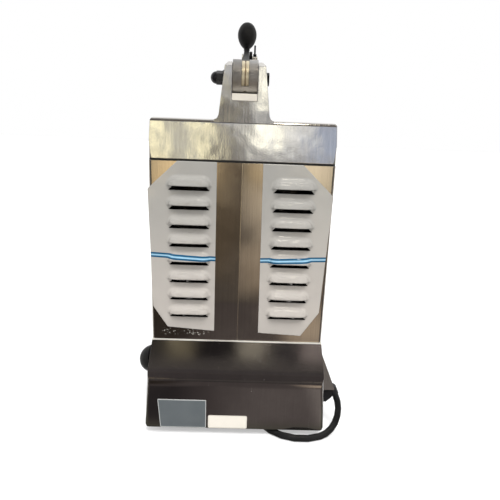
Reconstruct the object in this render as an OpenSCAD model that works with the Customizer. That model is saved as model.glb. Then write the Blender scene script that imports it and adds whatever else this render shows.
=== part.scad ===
// Commercial vegetable slicer: a louvred sheet column on a flared base, with a cast head that hinges
// open sideways, a fork and pusher lever on the head, and a belt-driven slicing disc in a cast bowl.
// The back of the machine faces -Y. Sizes are in millimetres.

/* [Column] */
// Width of the column
column_w = 240; // [220:1:300]
// Depth of the column, back to front
column_d = 302; // [295:1:340]
// Height of the column's back panel
column_h = 248; // [246:1:300]
// Thickness of the casing sheet
sheet = 1.5; // [1:0.1:2]
// Radius of the casing's upright bends
casing_r = 4; // [3:0.5:8]
// Width of the casing's turned-in lips
lip_w = 14; // [12:1:18]
// Width of the weld groove down the back panel
seam_w = 0.8; // [0.4:0.1:1.5]

/* [Louvres] */
// Louvres in each of the two rows
louvre_n = 8; // [4:1:8]
// Spacing of the louvres
louvre_pitch = 25.2; // [20:0.2:26]
// Length of one louvre's hood
louvre_w = 58; // [40:1:80]
// Height of one louvre's hood
louvre_h = 13; // [10:0.5:16]
// How far a hood stands out
louvre_out = 7; // [5:0.5:9]
// Depth of the slot's curved lower edge below the hood's lip
slot_low = 6; // [3:0.5:8]
// Sideways distance of each row from the middle
louvre_x = 68; // [55:1:75]
// Distance from the panel's top to the first slot
louvre_drop = 31; // [24:1:40]

/* [Base] */
// How far the base stands out behind the column
skirt_out = 33; // [15:1:50]
// How far the base stands out in front
front_out = 12; // [5:1:25]
// How far the base's sides flare out between the shoulder and the bottom
side_out = 7; // [4:0.5:10]
// Radius of the base's corners
base_r = 6; // [4:0.5:8]
// Height of the upright skirt
skirt_h = 79; // [75:1:100]
// Radius of the soft bend between the skirt and the rear shoulder
skirt_r = 40; // [10:1:60]
// Height of the sloping shoulder
shoulder_h = 42; // [38:1:60]
// Height of the rubber feet
foot_h = 12; // [10:1:20]
// Diameter of the rubber feet
foot_d = 30; // [24:1:40]
// Distance of the feet from the base's edges
foot_inset = 38; // [30:1:60]
// Thickness of the bottom plate
base_plate_t = 2; // [1.5:0.5:4]

/* [Head] */
// Height of the cast head
head_h = 50; // [46:1:70]
// How far the cast head stands out in front of the column
head_out = 20; // [16:1:40]
// Draft of the head's sides over its height
head_draft = 3; // [1:0.5:5]
// Radius of the head's upper edges
head_r = 5; // [3:0.5:10]
// Wall of the casting
head_wall = 7; // [5:0.5:9]
// Gap between the head and the column
head_gap = 2.7; // [2:0.1:5]
// Width of the fork where it meets the head
fork_base_w = 65; // [56:1:80]
// Width of the fork's top
fork_top_w = 50; // [46:0.5:60]
// Height of the fork above the head
fork_h = 68; // [66:1:90]
// Depth of the fork, back to front
fork_d = 56; // [50:1:70]
// Radius of the blend between the fork and the head
fork_fillet = 5; // [3:1:12]
// Width of the fork's slot
slot_w = 32.5; // [28:0.5:36]
// Rise of the slot's floor towards the front, in degrees
slot_rise = 10; // [2:1:14]

/* [Lever] */
// Height of the lever's pivot above the head
pivot_up = 51; // [48:1:60]
// Distance of the lever's pivot from the back of the head
pivot_in = 28; // [26:1:34]
// Diameter of the pivot bolt
pivot_d = 10; // [8:0.5:12]
// Radius of the lever's hub
hub_r = 22.5; // [18:0.5:24]
// Thickness of the lever bar
bar_t = 9; // [6:0.5:12]
// Height of the lever bar
bar_h = 20; // [14:1:26]
// Length of the lever bar from the pivot
bar_len = 284; // [250:1:320]
// Rise of the lever bar towards the front, in degrees
bar_rise = 14; // [10:0.5:18]
// Diameter of the egg-shaped knob
knob_d = 34; // [28:1:44]
// Height of the egg-shaped knob
knob_h = 44; // [40:1:52]

/* [Hopper] */
// Radius of the half-moon hopper
hopper_r = 80; // [66:1:80]
// Distance of the hopper's straight wall in front of the disc's axis
hopper_off = 21; // [19:1:28]
// Wall of the hopper
hopper_wall = 5; // [4:0.5:6]
// Gap between the pusher and the hopper
pusher_gap = 1.2; // [0.8:0.1:2.5]
// Height of the pusher's rim
pusher_t = 22; // [12:1:30]

/* [Chamber] */
// Gap between the bowl and the column's side walls
bowl_side = 6; // [5:0.5:20]
// Gap between the bowl and the column's front wall
bowl_front = 3; // [2:0.5:8]
// Thickness of the disc
disc_t = 5; // [4:0.5:7]
// Gap between the disc's rim and the bowl
disc_gap = 5; // [3:0.5:6]
// Wall of the bowl
bowl_wall = 5; // [4:0.5:6]
// Thickness of the bowl's deck
deck_t = 8; // [6:0.5:10]
// Inner depth of the bowl below the deck's top
bowl_depth = 75; // [72:1:80]
// Depth of the disc's top below the deck's top
disc_down = 25; // [22:1:28]
// Width of the discharge duct
duct_w = 112; // [80:1:130]
// Height of the discharge duct
duct_h = 42; // [36:1:44]
// How far the chute reaches out in front
chute_out = 43; // [40:1:70]
// Slope of the chute, in degrees
chute_slope = 32; // [20:1:40]

/* [Drive] */
// Diameter of the disc's shaft
shaft_d = 20; // [16:1:22]
// Outer diameter of the shaft's bearings
bearing_d = 42; // [38:1:44]
// Width of one bearing
bearing_w = 12; // [10:1:14]
// Radius of the driven pulley
driven_r = 55; // [50:1:58]
// Radius of the motor's pulley
driver_r = 22; // [20:1:25]
// Width of the pulleys
pulley_w = 20; // [18:1:24]
// Thickness of the belt
belt_t = 5; // [4:0.5:6]
// Gap between the two pulleys
pulley_gap = 8; // [6:1:20]
// Diameter of the motor
motor_d = 112; // [100:1:120]
// Length of the motor
motor_h = 140; // [110:1:142]
// Diameter of the motor's shaft
motor_shaft_d = 14; // [12:1:18]

/* [Controls] */
// Diameter of the stop button's dome
stop_d = 40; // [30:1:44]
// How far the stop button stands out of the base
stop_out = 25; // [20:1:32]
// Height of the buttons above the base's lower edge
button_up = 67; // [60:1:70]
// Distance of the stop button from the back of the column
stop_in = 40; // [36:1:60]
// Diameter of the start button
start_d = 24; // [18:1:28]
// Travel of the buttons
button_travel = 3; // [2:0.5:4]

/* [Cord] */
// Diameter of the mains cord
cord_d = 9.5; // [8:0.5:9.5]
// Turns in each layer of the coil
coil_turns = 2; // [1:1:3]
// Gap between the turns of the coil
coil_gap = 0.7; // [0.6:0.1:1.5]

/* [Hidden] */
$fn = 64;

// Running fit of a pin in its bore
run_fit = 0.05;
// Gap between pieces that pass each other
loose = 0.3;
// Overshoot of a cut past the face that it opens
over = 1;
// Half side of the square that keeps one side of an outline
far = 400;

// Levels, from the table up
z_base = foot_h;
z_skirt = z_base + skirt_h;
z_bend = z_skirt + shoulder_h;
z_top = z_bend + column_h;
z_head = z_top + head_gap;
z_crown = z_head + head_h;

// Places from back to front, with the part's middle at Y = 0
rear_y = skirt_out - (skirt_out + column_d + chute_out) / 2;
front_y = rear_y + column_d;
head_d = column_d + head_out;
mid_y = rear_y + column_d / 2;
base_w = column_w + 2 * side_out;
base_rear = rear_y - skirt_out;
base_front = front_y + front_out;

// Lever pivot and hopper
pivot_y = rear_y + pivot_in;
pivot_z = z_crown + pivot_up;
hopper_cut = 22;
hopper_low = -48;
hopper_high = -4;

// Chamber levels and radii
bowl_r = column_w / 2 - sheet - bowl_side - bowl_wall;
disc_d = 2 * (bowl_r - disc_gap);
disc_y = front_y - sheet - bowl_front - bowl_wall - bowl_r;
z_disc = z_top - disc_down;
z_floor = z_top - bowl_depth;
blade_lift = 3;
hopper_clear = 2;
z_hopper = z_disc + blade_lift + hopper_clear;
pusher_clear = 1.5;
z_pusher = z_hopper + pusher_clear;
hopper_near = norm([disc_y + hopper_off - pivot_y, pivot_z - z_hopper]);
hopper_mid = hopper_near - hopper_cut;
floor_t = 6;
seal_d = 34;
seal_t = 5;
bearing_space = 10;
boss_h = 2 * bearing_w + bearing_space;
boss_wall = 6;
z_boss = z_floor - floor_t - boss_h;
duct_wall = 4;
duct_proud = 4;
hub_top = z_disc - disc_t - 8;
collar_t = 2.5;
z_ejector = z_floor + loose + collar_t;

// Drive levels
z_pulley = z_boss - 3 - pulley_w;
flange_t = 2;
flange_h = 3;
motor_y = disc_y - driven_r - driver_r - 2 * flange_h - pulley_gap;
motor_plate_t = 6;
z_motor_plate = z_pulley - 12 - motor_plate_t;
z_motor = z_motor_plate - motor_h;
fan_h = 14;
fan_gap = 5;
z_fan = z_motor - fan_gap - fan_h;
motor_base_r = motor_d / 2 - 6;
motor_plate_d = motor_d + 10;
motor_bolt_pcd = motor_d - 24;

// Screws; each reaches past the sheet that it holds
screw_d = 5;
screw_head_d = 9;
screw_head_h = 3.5;
screw_fit = 0.1;
screw_past = 4;

// Hinge of the head on the column's left wall
hinge_off = 10;
hinge_x = -column_w / 2 - hinge_off;
hinge_drop = 0.7;
hinge_z = z_head - hinge_drop;
knuckle_r = 7;
hinge_pin_d = 8;
lug_len = 20;
knuckle_len = 19;
knuckle_arm = 8;
lug_gap = 0.5;
hinge_rear = 130;
hinge_pitch = 110;
hinge_places = [rear_y + hinge_rear, rear_y + hinge_rear + hinge_pitch];
bracket_h = 44;
bracket_t = 3;
bracket_drop = 3;

// Buttons on the base's left wall
button_z = z_base + button_up;
button_x = -wall_x(button_z);
button_pitch = 52;
stop_y = rear_y + stop_in;
start_y = stop_y + button_pitch;
stem_r = 8;
dome_h = 16;
collar_out = 5;
start_out = 10;
block_in = 14;
stem_in = 10;

// Lever
eye_in = 1.5;
eye_r = hub_r - eye_in;
eye_low = 10.4;
eye_groove = 1.4;
bar_fit = 0.15;
hub_side_gap = 0.4;
slot_drop = 29;
spot_x = fork_base_w / 2 - (fork_base_w - fork_top_w) / 2 * pivot_up / fork_h - 0.5;
spot_r = 12;
groove_low = eye_low + loose;
bar_end_y = pivot_y + bar_len * cos(bar_rise);
bar_end_z = pivot_z + bar_len * sin(bar_rise);
knob_stud_d = 8;
knob_mid = 23;
knob_crown_r = 14.5;
knob_neck_d = 11;
knob_foot_z = bar_end_z + bar_h / 2 + 1;
hanger_r = hopper_near + 36;
hanger_w = 22;
hanger_t = 5;
hanger_pin_d = 8;
hanger_y = pivot_y + hanger_r * cos(asin((pivot_z - z_pusher - pusher_t / 2) / hanger_r));
hanger_z = pivot_z + (hanger_y - pivot_y) * tan(bar_rise);
hanger_x = bar_t / 2 + loose;
pusher_skin = 5;

// Knob that lifts the head, as far out as the stop button
lift_reach = base_w / 2 + stop_out;
lift_z = z_head + head_h / 2 - 3;
lift_y = disc_y;
lift_r = 14;
lift_stud_d = 10;
lift_deep = 18;
lift_boss = 5;
head_side = column_w / 2 - head_draft;

// Cord entry on the base's right wall
hood_len = 50;
hood_y = rear_y - 14;
hood_top = z_skirt + 28;
hood_low = z_skirt - 25;
hood_out = 18;
hood_x = wall_x(hood_low) + hood_out;
gland_w = 16;
gland_l = 24;
gland_low = z_base + 32;
gland_high = hood_low - 1;
gland_x = wall_x(gland_high) + gland_w;
gland_y = rear_y - 10;
exit_dir = unit([0.47, -0.2, -0.86]);
exit_p = [141, 0, 61.5];
relief_in = 10;
relief_out = 11;
relief_r = 7.5;

// Cord route behind the machine, under it and out to its front: X, distance from the column's back, Z
lie = cord_d / 2;
tie_t = 1;
tie_w = 8;
tie_fit = 0.6;
coil_step = cord_d + coil_gap;
coil_r = 5 * cord_d;
coil_out = coil_r + coil_step * coil_turns / 2;
coil_z = lie + tie_t + loose;
coil_away = 86;
coil_in = column_d + front_out + coil_away;
coil_y = rear_y + coil_in;
lead_x = 4;
cord_bend = 38;
bend_steps = 7;
floor_dir = unit([-0.91, -0.41, 0]);
bend_turn = acos(exit_dir * floor_dir);
bend_side = unit(floor_dir - cos(bend_turn) * exit_dir);
bend_drop = -cord_bend * (sin(bend_turn) * exit_dir[2] + (1 - cos(bend_turn)) * bend_side[2]);
exit_run = (exit_p[2] - lie - bend_drop) / -exit_dir[2];
floor_bend = 66;
floor_turn = acos(floor_dir[1]);
floor_side = [floor_dir[1], -floor_dir[0], 0];
function arc_step(r, a, ahead, side) = r * (sin(a) * ahead + (1 - cos(a)) * side);
bend_end = exit_p + exit_run * exit_dir + arc_step(cord_bend, bend_turn, exit_dir, bend_side);
cord_route = concat(
    [exit_p, exit_p + exit_run / 2 * exit_dir],
    [for (i = [0 : bend_steps - 1])
        exit_p + exit_run * exit_dir + arc_step(cord_bend, bend_turn * i / bend_steps, exit_dir, bend_side)],
    [for (i = [0 : bend_steps])
        bend_end + arc_step(floor_bend, floor_turn * i / bend_steps, floor_dir, floor_side)],
    [
        [27, 60, lie], [24, 100, lie], [20, 140, lie], [16, 180, lie], [12, 220, lie], [8, 260, lie],
        [5, 295, lie], [lead_x, 325, lie], [lead_x, 350, lie + 0.4],
        [lead_x, coil_in - 2 * cord_d, coil_z], [lead_x, coil_in - cord_d, coil_z]
    ]
);

// Plug at the end of the coil
plug_r = coil_z + coil_step - 0.1;
plug_relief = 16;
plug_l = 26;
pin_l = 16;
plug_x = lead_x - 2 * coil_out;
plug_y = coil_y - 2 * cord_d;

// Flat outline with round corners
module rounded(w, d, r) {
    square([w, d - 2 * r], center = true);
    square([w - 2 * r, d], center = true);
    for (x = [-1, 1], y = [-1, 1]) translate([x * (w / 2 - r), y * (d / 2 - r)]) circle(r);
}

// Raises an outline drawn in Y and Z to a width along X, about the middle
module along_x(w) {
    rotate([90, 0, 90]) linear_extrude(w, center = true) children();
}

// Raises an outline drawn in X and Z from one Y to another
module along_y(y0, y1) {
    translate([0, y1, 0]) rotate([90, 0, 0]) linear_extrude(y1 - y0) children();
}

// Cylinder along X from one place to another
module rod_x(x0, x1, r, y, z) {
    translate([x0, y, z]) rotate([0, 90, 0]) cylinder(h = x1 - x0, r = r);
}

// Cylinder along Y from one place to another
module rod_y(y0, y1, r, x, z) {
    translate([x, y0, z]) rotate([-90, 0, 0]) cylinder(h = y1 - y0, r = r);
}

// Lean of the base's rear shoulder, and the middle of the soft bend between it and the skirt
skirt_lean = atan2(skirt_out, shoulder_h);
skirt_mid = [base_rear + skirt_r, z_skirt - skirt_r * tan(skirt_lean / 2)];

// Half width of the base at a level, and the lean of its sides
function wall_x(z) = base_w / 2 - side_out * (z - z_base) / (z_bend - z_base);
side_lean = atan2(side_out, z_bend - z_base);

// Outline of the base seen from the side, drawn in by the wall
module base_side(t, low) {
    r = skirt_r - t;
    polygon([
        [base_rear + t, low], [base_front - t, low], [base_front - t, z_skirt - t / 2],
        [front_y - t, z_bend - t], [rear_y + t, z_bend - t],
        skirt_mid + r * [-cos(skirt_lean), sin(skirt_lean)], skirt_mid - [r, 0]
    ]);
    translate(skirt_mid) circle(r, $fn = 128);
}

// Outline of the base seen from behind, drawn in by the wall
module base_back(t, low) {
    half = wall_x(low) - t;
    top = wall_x(z_bend - t) - t;
    polygon([[-half, low], [half, low], [top, z_bend - t], [-top, z_bend - t]]);
}

// What is cut off the base's four upright edges and its lower side edges to round them, drawn in by the wall
module base_corners(t) {
    r = base_r - t;
    for (side = [0, 1], end = [0, 1]) mirror([side, 0, 0])
        translate([base_w / 2 - t, end > 0 ? base_front - t : base_rear + t, z_base]) mirror([0, end, 0])
        rotate([0, -side_lean, 0]) translate([-r, r, -far / 2]) difference() {
            translate([0, -r - over, 0]) cube([r + over, r + over, far]);
            translate([0, 0, -over]) cylinder(h = far + 2 * over, r = r);
        }
}

// Cuts that round the two lower side edges, a little short of tangent
edge_short = 0.4;

module base_lower_edges() {
    d = base_r - edge_short;
    in = d / tan(45 - side_lean / 2);
    along_y(base_rear - over, base_front + over) for (side = [0, 1]) mirror([side, 0]) difference() {
        translate([base_w / 2 - in, z_base - over]) square([in + over, in + over]);
        translate([base_w / 2 - in, z_base + d]) circle(base_r);
        translate([base_w / 2 - in, z_base + d]) rotate(side_lean)
            square(2 * base_r);
    }
}

module base_body(t, low) {
    difference() {
        intersection() {
            along_x(2 * base_w) base_side(t, low);
            along_y(base_rear, base_front) base_back(t, low);
        }
        base_corners(t);
    }
}

// Places of the screws between the column's lower lip and the base: two in the back panel, four in the shell
function lip_places() = concat(
    [for (x = [-1, 1]) [x * rear_screw_x, rear_y + sheet + rear_screw_in]],
    [for (x = [-1, 1], y = [0.25, 0.8])
        [x * (column_w / 2 - sheet - lip_w / 2), rear_y + y * column_d]]
);
rear_screw_x = 60;
rear_screw_in = 5.5;

module base_casing() color("slategray") difference() {
    base_body(0, z_base);
    base_body(sheet, z_base - over);
    base_lower_edges();
    translate([0, mid_y, z_skirt]) linear_extrude(z_bend)
        square([column_w - 2 * (sheet + lip_w), column_d - 2 * (sheet + lip_w)], center = true);
    for (p = lip_places()) translate([p[0], p[1], z_skirt])
        cylinder(h = z_bend, r = screw_d / 2 + screw_fit);
    for (y = [stop_y, start_y])
        rod_x(button_x - over, button_x + sheet + over, stem_r + loose, y, button_z);
}

function foot_places() = [for (x = [-1, 1], y = [base_rear + foot_inset, base_front - foot_inset])
    [x * (base_w / 2 - foot_inset), y]];

module base_plate() color("gray") difference() {
    in = 2 * (sheet + screw_fit);
    translate([0, (base_rear + base_front) / 2, z_base]) linear_extrude(base_plate_t)
        rounded(base_w - in - base_r, base_front - base_rear - in, base_r);
    for (p = foot_places()) translate([p[0], p[1], z_base - over])
        cylinder(h = base_plate_t + 2 * over, r = screw_d / 2 + screw_fit);
}

foot_recess = 5;

module feet() color("black") for (p = foot_places()) translate([p[0], p[1], 0]) difference() {
    cylinder(h = foot_h, d1 = foot_d - 4, d2 = foot_d);
    translate([0, 0, -over]) cylinder(h = foot_recess + over, r = screw_head_d / 2 + 1);
    cylinder(h = foot_h + over, r = screw_d / 2 + screw_fit);
}

module foot_screws() color("silver") for (p = foot_places()) translate([p[0], p[1], 0]) {
    translate([0, 0, foot_recess - screw_head_h]) cylinder(h = screw_head_h, r = screw_head_d / 2);
    translate([0, 0, foot_recess])
        cylinder(h = foot_h - foot_recess + base_plate_t + screw_past, r = screw_d / 2);
}

// Round bar with ball ends whose upper half stands out of the back panel as a louvre's hood; in draws its
// skin inwards
module louvre_bulge(in) {
    r = (louvre_out * louvre_out + louvre_h * louvre_h) / (2 * louvre_out);
    half = louvre_w / 2 - louvre_h;
    intersection() {
        union() {
            rod_x(-half, half, r - in, r - louvre_out, 0);
            for (x = [-half, half]) translate([x, r - louvre_out, 0]) sphere(r - in);
        }
        translate([-louvre_w, -louvre_h, -in]) cube([2 * louvre_w, louvre_h + sheet + in, 2 * louvre_h]);
    }
}

// Curved lower edge of a louvre's slot, below the hood's lip
module louvre_slot() {
    reach = louvre_w / 2 - sheet;
    low_r = (reach * reach + slot_low * slot_low) / (2 * slot_low);
    along_y(-over, sheet + over) intersection() {
        translate([0, low_r - slot_low]) circle(low_r, $fn = 128);
        translate([-reach, -slot_low]) square([2 * reach, slot_low + over]);
    }
}

module at_louvres() {
    for (x = [-louvre_x, louvre_x], i = [0 : louvre_n - 1])
        translate([x, rear_y, z_top - louvre_drop - i * louvre_pitch]) children();
}

// Space of the discharge duct, grown outwards
module duct(grow, y0, y1) {
    translate([-duct_w / 2 - grow, y0, z_floor - grow]) cube([duct_w + 2 * grow, y1 - y0, duct_h + 2 * grow]);
}

module casing_outline(in) {
    rounded(column_w - 2 * in, column_d - 2 * in, max(casing_r - in, sheet));
}

module casing_lip(z) {
    translate([0, mid_y, z]) linear_extrude(sheet) difference() {
        casing_outline(sheet / 2);
        square([column_w - 2 * (sheet + lip_w), column_d - 2 * (sheet + lip_w)], center = true);
    }
}

function deck_places() = [for (x = [-1, 1], y = [-1, 1])
    [x * (column_w / 2 - sheet - lip_w / 2), mid_y + y * (column_d / 2 - sheet - lip_w / 2)]];

function chute_places() = [for (x = [-1, 1], z = [z_floor, z_floor + duct_h])
    [x * (duct_w / 2 + duct_wall + chute_flange / 2), z]];

function bracket_places() = [for (y = hinge_places, s = [-1, 1], z = [14, 34])
    [y + s * (lug_len / 2 + lug_gap + knuckle_len / 2), z_top - bracket_drop - z]];

rear_return = 8;
split_y = rear_y + casing_r + rear_return;

// Keeps what lies behind a place along Y
module behind(y) {
    intersection() {
        children();
        translate([-far, y - 2 * far, 0]) cube([2 * far, 2 * far, 2 * far]);
    }
}

// Upright walls of the column with their turned-in lips, cut free round the bowl and for the screws
module column_walls() {
    difference() {
        union() {
            translate([0, mid_y, z_bend]) linear_extrude(column_h) difference() {
                casing_outline(0);
                casing_outline(sheet);
            }
            casing_lip(z_bend);
            casing_lip(z_top - deck_t - sheet);
        }
        translate([0, disc_y, z_top - deck_t - 2 * sheet])
            cylinder(h = 2 * sheet, r = bowl_r + bowl_wall + loose, $fn = 128);
        for (p = lip_places()) translate([p[0], p[1], z_bend - over])
            cylinder(h = 2 * over + sheet, r = screw_d / 2 + screw_fit);
        for (p = deck_places()) translate([p[0], p[1], z_top - deck_t - sheet - over])
            cylinder(h = 2 * over + sheet, r = screw_d / 2 + screw_fit);
    }
}

// Back panel with its louvres, the weld groove down its middle and short returns round the corners
module rear_panel() color("lightgray") difference() {
    union() {
        behind(split_y) column_walls();
        at_louvres() louvre_bulge(0);
    }
    at_louvres() louvre_bulge(sheet);
    at_louvres() louvre_slot();
    translate([-seam_w / 2, rear_y - over, z_bend]) cube([seam_w, over + sheet / 4, column_h]);
}

// Sides and front of the column in one folded sheet
module column_casing() color("silver") difference() {
    column_walls();
    behind(split_y + loose) translate([-far, -far, 0]) cube(2 * far);
    duct(duct_wall + loose, front_y - 2 * sheet, front_y + over);
    for (p = chute_places()) rod_y(front_y - 2 * sheet, front_y + over, screw_d / 2 + screw_fit, p[0], p[1]);
    for (p = bracket_places())
        rod_x(-column_w / 2 - over, -column_w / 2 + 2 * sheet, screw_d / 2 + screw_fit, p[0], p[1]);
}

module casing_screws() color("silver") for (p = lip_places()) translate([p[0], p[1], z_bend + sheet]) {
    cylinder(h = screw_head_h, r = screw_head_d / 2);
    translate([0, 0, -2 * sheet - screw_past]) cylinder(h = 2 * sheet + screw_past, r = screw_d / 2);
}

module chamber_bowl() color("gainsboro") difference() {
    union() {
        translate([0, disc_y, z_floor - floor_t])
            cylinder(h = z_head - loose - z_floor + floor_t, r = bowl_r + bowl_wall, $fn = 128);
        translate([0, disc_y, z_boss]) cylinder(h = boss_h + floor_t, r = bearing_d / 2 + boss_wall);
        translate([0, mid_y, z_top - deck_t]) linear_extrude(deck_t)
            rounded(column_w - 2 * (sheet + screw_fit), column_d - 2 * (sheet + screw_fit), casing_r);
        duct(duct_wall, disc_y + bowl_r / 2, front_y + duct_proud);
    }
    translate([0, disc_y, z_floor]) cylinder(h = bowl_depth + head_gap + over, r = bowl_r, $fn = 128);
    duct(0, disc_y + bowl_r / 2, front_y + duct_proud + over);
    translate([0, disc_y, z_boss - over]) cylinder(h = boss_h + over, r = bearing_d / 2);
    translate([0, disc_y, z_floor - seal_t]) cylinder(h = seal_t + over, r = seal_d / 2);
    translate([0, disc_y, z_boss]) cylinder(h = boss_h + floor_t, r = shaft_d / 2 + 3);
    for (p = deck_places()) translate([p[0], p[1], z_top - deck_t - over]) {
        cylinder(h = deck_t + 2 * over, r = screw_d / 2 + screw_fit);
        translate([0, 0, over + deck_t - screw_head_h])
            cylinder(h = screw_head_h + over, r = screw_head_d / 2 + loose);
    }
}

module bowl_screws() color("silver") for (p = deck_places()) translate([p[0], p[1], z_top - screw_head_h]) {
    difference() {
        cylinder(h = screw_head_h, r = screw_head_d / 2);
        translate([0, 0, screw_head_h / 2]) cylinder(h = screw_head_h, r = screw_d / 2, $fn = 6);
    }
    shank = deck_t + sheet + screw_past - screw_head_h;
    translate([0, 0, -shank]) cylinder(h = shank, r = screw_d / 2);
}

module ring(h, r_out, r_in) {
    difference() {
        cylinder(h = h, r = r_out);
        translate([0, 0, -over]) cylinder(h = h + 2 * over, r = r_in);
    }
}

// One ball bearing: two races, each with its groove, and the balls between them
module bearing() {
    race = (bearing_d - shaft_d) / 2 * 0.3;
    ball_r = (bearing_d - shaft_d) / 8;
    pitch_r = (bearing_d + shaft_d) / 4;
    difference() {
        union() {
            ring(bearing_w, bearing_d / 2 - run_fit, bearing_d / 2 - race);
            ring(bearing_w, shaft_d / 2 + race, shaft_d / 2 + run_fit);
        }
        translate([0, 0, bearing_w / 2]) rotate_extrude() translate([pitch_r, 0]) circle(ball_r + run_fit);
    }
    for (a = [0 : 45 : 315]) rotate(a) translate([pitch_r, 0, bearing_w / 2]) sphere(ball_r);
}

module bearings() color("silver") for (z = [z_boss, z_boss + bearing_w + bearing_space])
    translate([0, disc_y, z]) bearing();

module shaft_seal() color("dimgray") translate([0, disc_y, z_floor - seal_t])
    ring(seal_t, seal_d / 2 - run_fit, shaft_d / 2 + run_fit);

// Outline of a belt's run round two circles, one behind the other: an arc on each, joined by straight runs
module belt_outline(r1, r2) {
    lean = asin((r1 - r2) / (disc_y - motor_y));
    polygon(concat(
        [for (i = [0 : belt_steps]) let (a = -lean + (180 + 2 * lean) * i / belt_steps)
            [r1 * cos(a), disc_y + r1 * sin(a)]],
        [for (i = [0 : belt_steps]) let (a = 180 + lean + (180 - 2 * lean) * i / belt_steps)
            [r2 * cos(a), motor_y + r2 * sin(a)]]
    ));
}

belt_steps = 36;

module drive_belt() color("black") translate([0, 0, z_pulley + flange_t + loose])
    linear_extrude(pulley_w - 2 * (flange_t + loose)) difference() {
        belt_outline(driven_r + loose + belt_t, driver_r + loose + belt_t);
        belt_outline(driven_r + 2 * loose, driver_r + 2 * loose);
    }

motor_fin_n = 20;
motor_fin_t = 3;
bell_h = 16;

module motor_body() color("dimgray") translate([0, motor_y, z_motor]) difference() {
    union() {
        cylinder(h = motor_h, r = motor_base_r);
        for (z = [0, motor_h - bell_h]) translate([0, 0, z]) cylinder(h = bell_h, r = motor_d / 2);
        for (i = [0 : motor_fin_n - 1]) rotate(i * 360 / motor_fin_n)
            translate([0, -motor_fin_t / 2, bell_h / 2])
                cube([motor_d / 2 - over, motor_fin_t, motor_h - bell_h]);
    }
    translate([0, 0, -over]) cylinder(h = motor_h + 2 * over, r = motor_shaft_d / 2 + run_fit);
    motor_bolt_holes(motor_h - 14, 14 + over);
}

module motor_bolt_holes(z, h) {
    for (a = [45 : 90 : 315]) rotate(a) translate([motor_bolt_pcd / 2, 0, z])
        cylinder(h = h, r = screw_d / 2 + screw_fit);
}

motor_flange_h = 24;

module motor_plate() color("silver") difference() {
    union() {
        translate([-column_w / 2 + sheet, motor_y - motor_plate_d / 2, z_motor_plate])
            cube([column_w - 2 * sheet, motor_plate_d, motor_plate_t]);
        for (x = [-column_w / 2 + sheet, column_w / 2 - sheet - motor_plate_t / 2])
            translate([x, motor_y - motor_plate_d / 2, z_motor_plate - motor_flange_h])
                cube([motor_plate_t / 2, motor_plate_d, motor_flange_h + motor_plate_t]);
    }
    translate([0, motor_y, z_motor_plate - over])
        cylinder(h = motor_plate_t + 2 * over, r = motor_shaft_d / 2 + 2);
    translate([0, motor_y, z_motor_plate]) motor_bolt_holes(-over, motor_plate_t + 2 * over);
}

bolt_in = 12;

module motor_bolts() color("silver") translate([0, motor_y, z_motor_plate + motor_plate_t])
    for (a = [45 : 90 : 315]) rotate(a) translate([motor_bolt_pcd / 2, 0, 0]) {
        cylinder(h = screw_head_h, r = screw_head_d / 2, $fn = 6);
        translate([0, 0, -motor_plate_t - bolt_in]) cylinder(h = motor_plate_t + bolt_in, r = screw_d / 2);
    }

chute_flange = 18;
chute_cheek = 40;
chute_lip = 16;

module discharge_chute() color("lightgray") {
    wide = duct_w + 2 * (duct_wall + chute_flange);
    inner = duct_w + 2 * (duct_wall + loose);
    z0 = z_floor - duct_wall - loose;
    y0 = front_y + sheet / 2;
    y1 = front_y + chute_out;
    z1 = z0 - (y1 - y0) * tan(chute_slope);
    t = sheet / cos(chute_slope);
    difference() {
        translate([-wide / 2, front_y, z0 - chute_flange])
            cube([wide, sheet, duct_h + 2 * (duct_wall + loose + chute_flange)]);
        duct(duct_wall + loose, front_y - over, front_y + sheet + over);
        for (p = chute_places())
            rod_y(front_y - over, front_y + sheet + over, screw_d / 2 + screw_fit, p[0], p[1]);
    }
    along_x(inner + sheet) polygon([[y0, z0], [y1, z1], [y1, z1 - t], [y0, z0 - t]]);
    for (x = [-1, 1]) translate([x * (inner + sheet) / 2, 0, 0])
        along_x(sheet) polygon([[y0, z0 - t], [y1, z1 - t], [y1, z1 + chute_lip], [y0, z0 + chute_cheek]]);
}

module chute_screws() color("silver") for (p = chute_places()) {
    rod_y(front_y + sheet, front_y + sheet + screw_head_h, screw_head_d / 2, p[0], p[1]);
    rod_y(front_y - 5, front_y + sheet, screw_d / 2, p[0], p[1]);
}

module hinge_brackets() color("silver") for (y = hinge_places) difference() {
    reach = lug_len / 2 + lug_gap + knuckle_len;
    union() {
        translate([-column_w / 2 - bracket_t, y - reach, z_top - bracket_drop - bracket_h])
            cube([bracket_t, 2 * reach, bracket_h]);
        for (s = [-1, 1]) {
            y0 = y + s * (reach - knuckle_len / 2) - knuckle_len / 2;
            rod_y(y0, y0 + knuckle_len, knuckle_r, hinge_x, hinge_z);
            translate([hinge_x, y0, z_top - bracket_drop - knuckle_arm])
                cube([-column_w / 2 - hinge_x, knuckle_len, knuckle_arm]);
        }
    }
    rod_y(y - reach - over, y + reach + over, hinge_pin_d / 2, hinge_x, hinge_z);
    for (p = bracket_places())
        rod_x(-column_w / 2 - 2 * bracket_t, -column_w / 2 + over, screw_d / 2 + screw_fit, p[0], p[1]);
}

module bracket_screws() color("silver") for (p = bracket_places()) {
    x = -column_w / 2 - bracket_t;
    rod_x(x - screw_head_h, x, screw_head_d / 2, p[0], p[1]);
    rod_x(x, -column_w / 2 + sheet + 3, screw_d / 2, p[0], p[1]);
}

module hinge_pin() color("silver") {
    reach = lug_len / 2 + lug_gap + knuckle_len + 2;
    rod_y(hinge_places[0] - reach, hinge_places[1] + reach, hinge_pin_d / 2 - run_fit, hinge_x, hinge_z);
    rod_y(hinge_places[0] - reach - 3, hinge_places[0] - reach, hinge_pin_d / 2 + 2, hinge_x, hinge_z);
}

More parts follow.
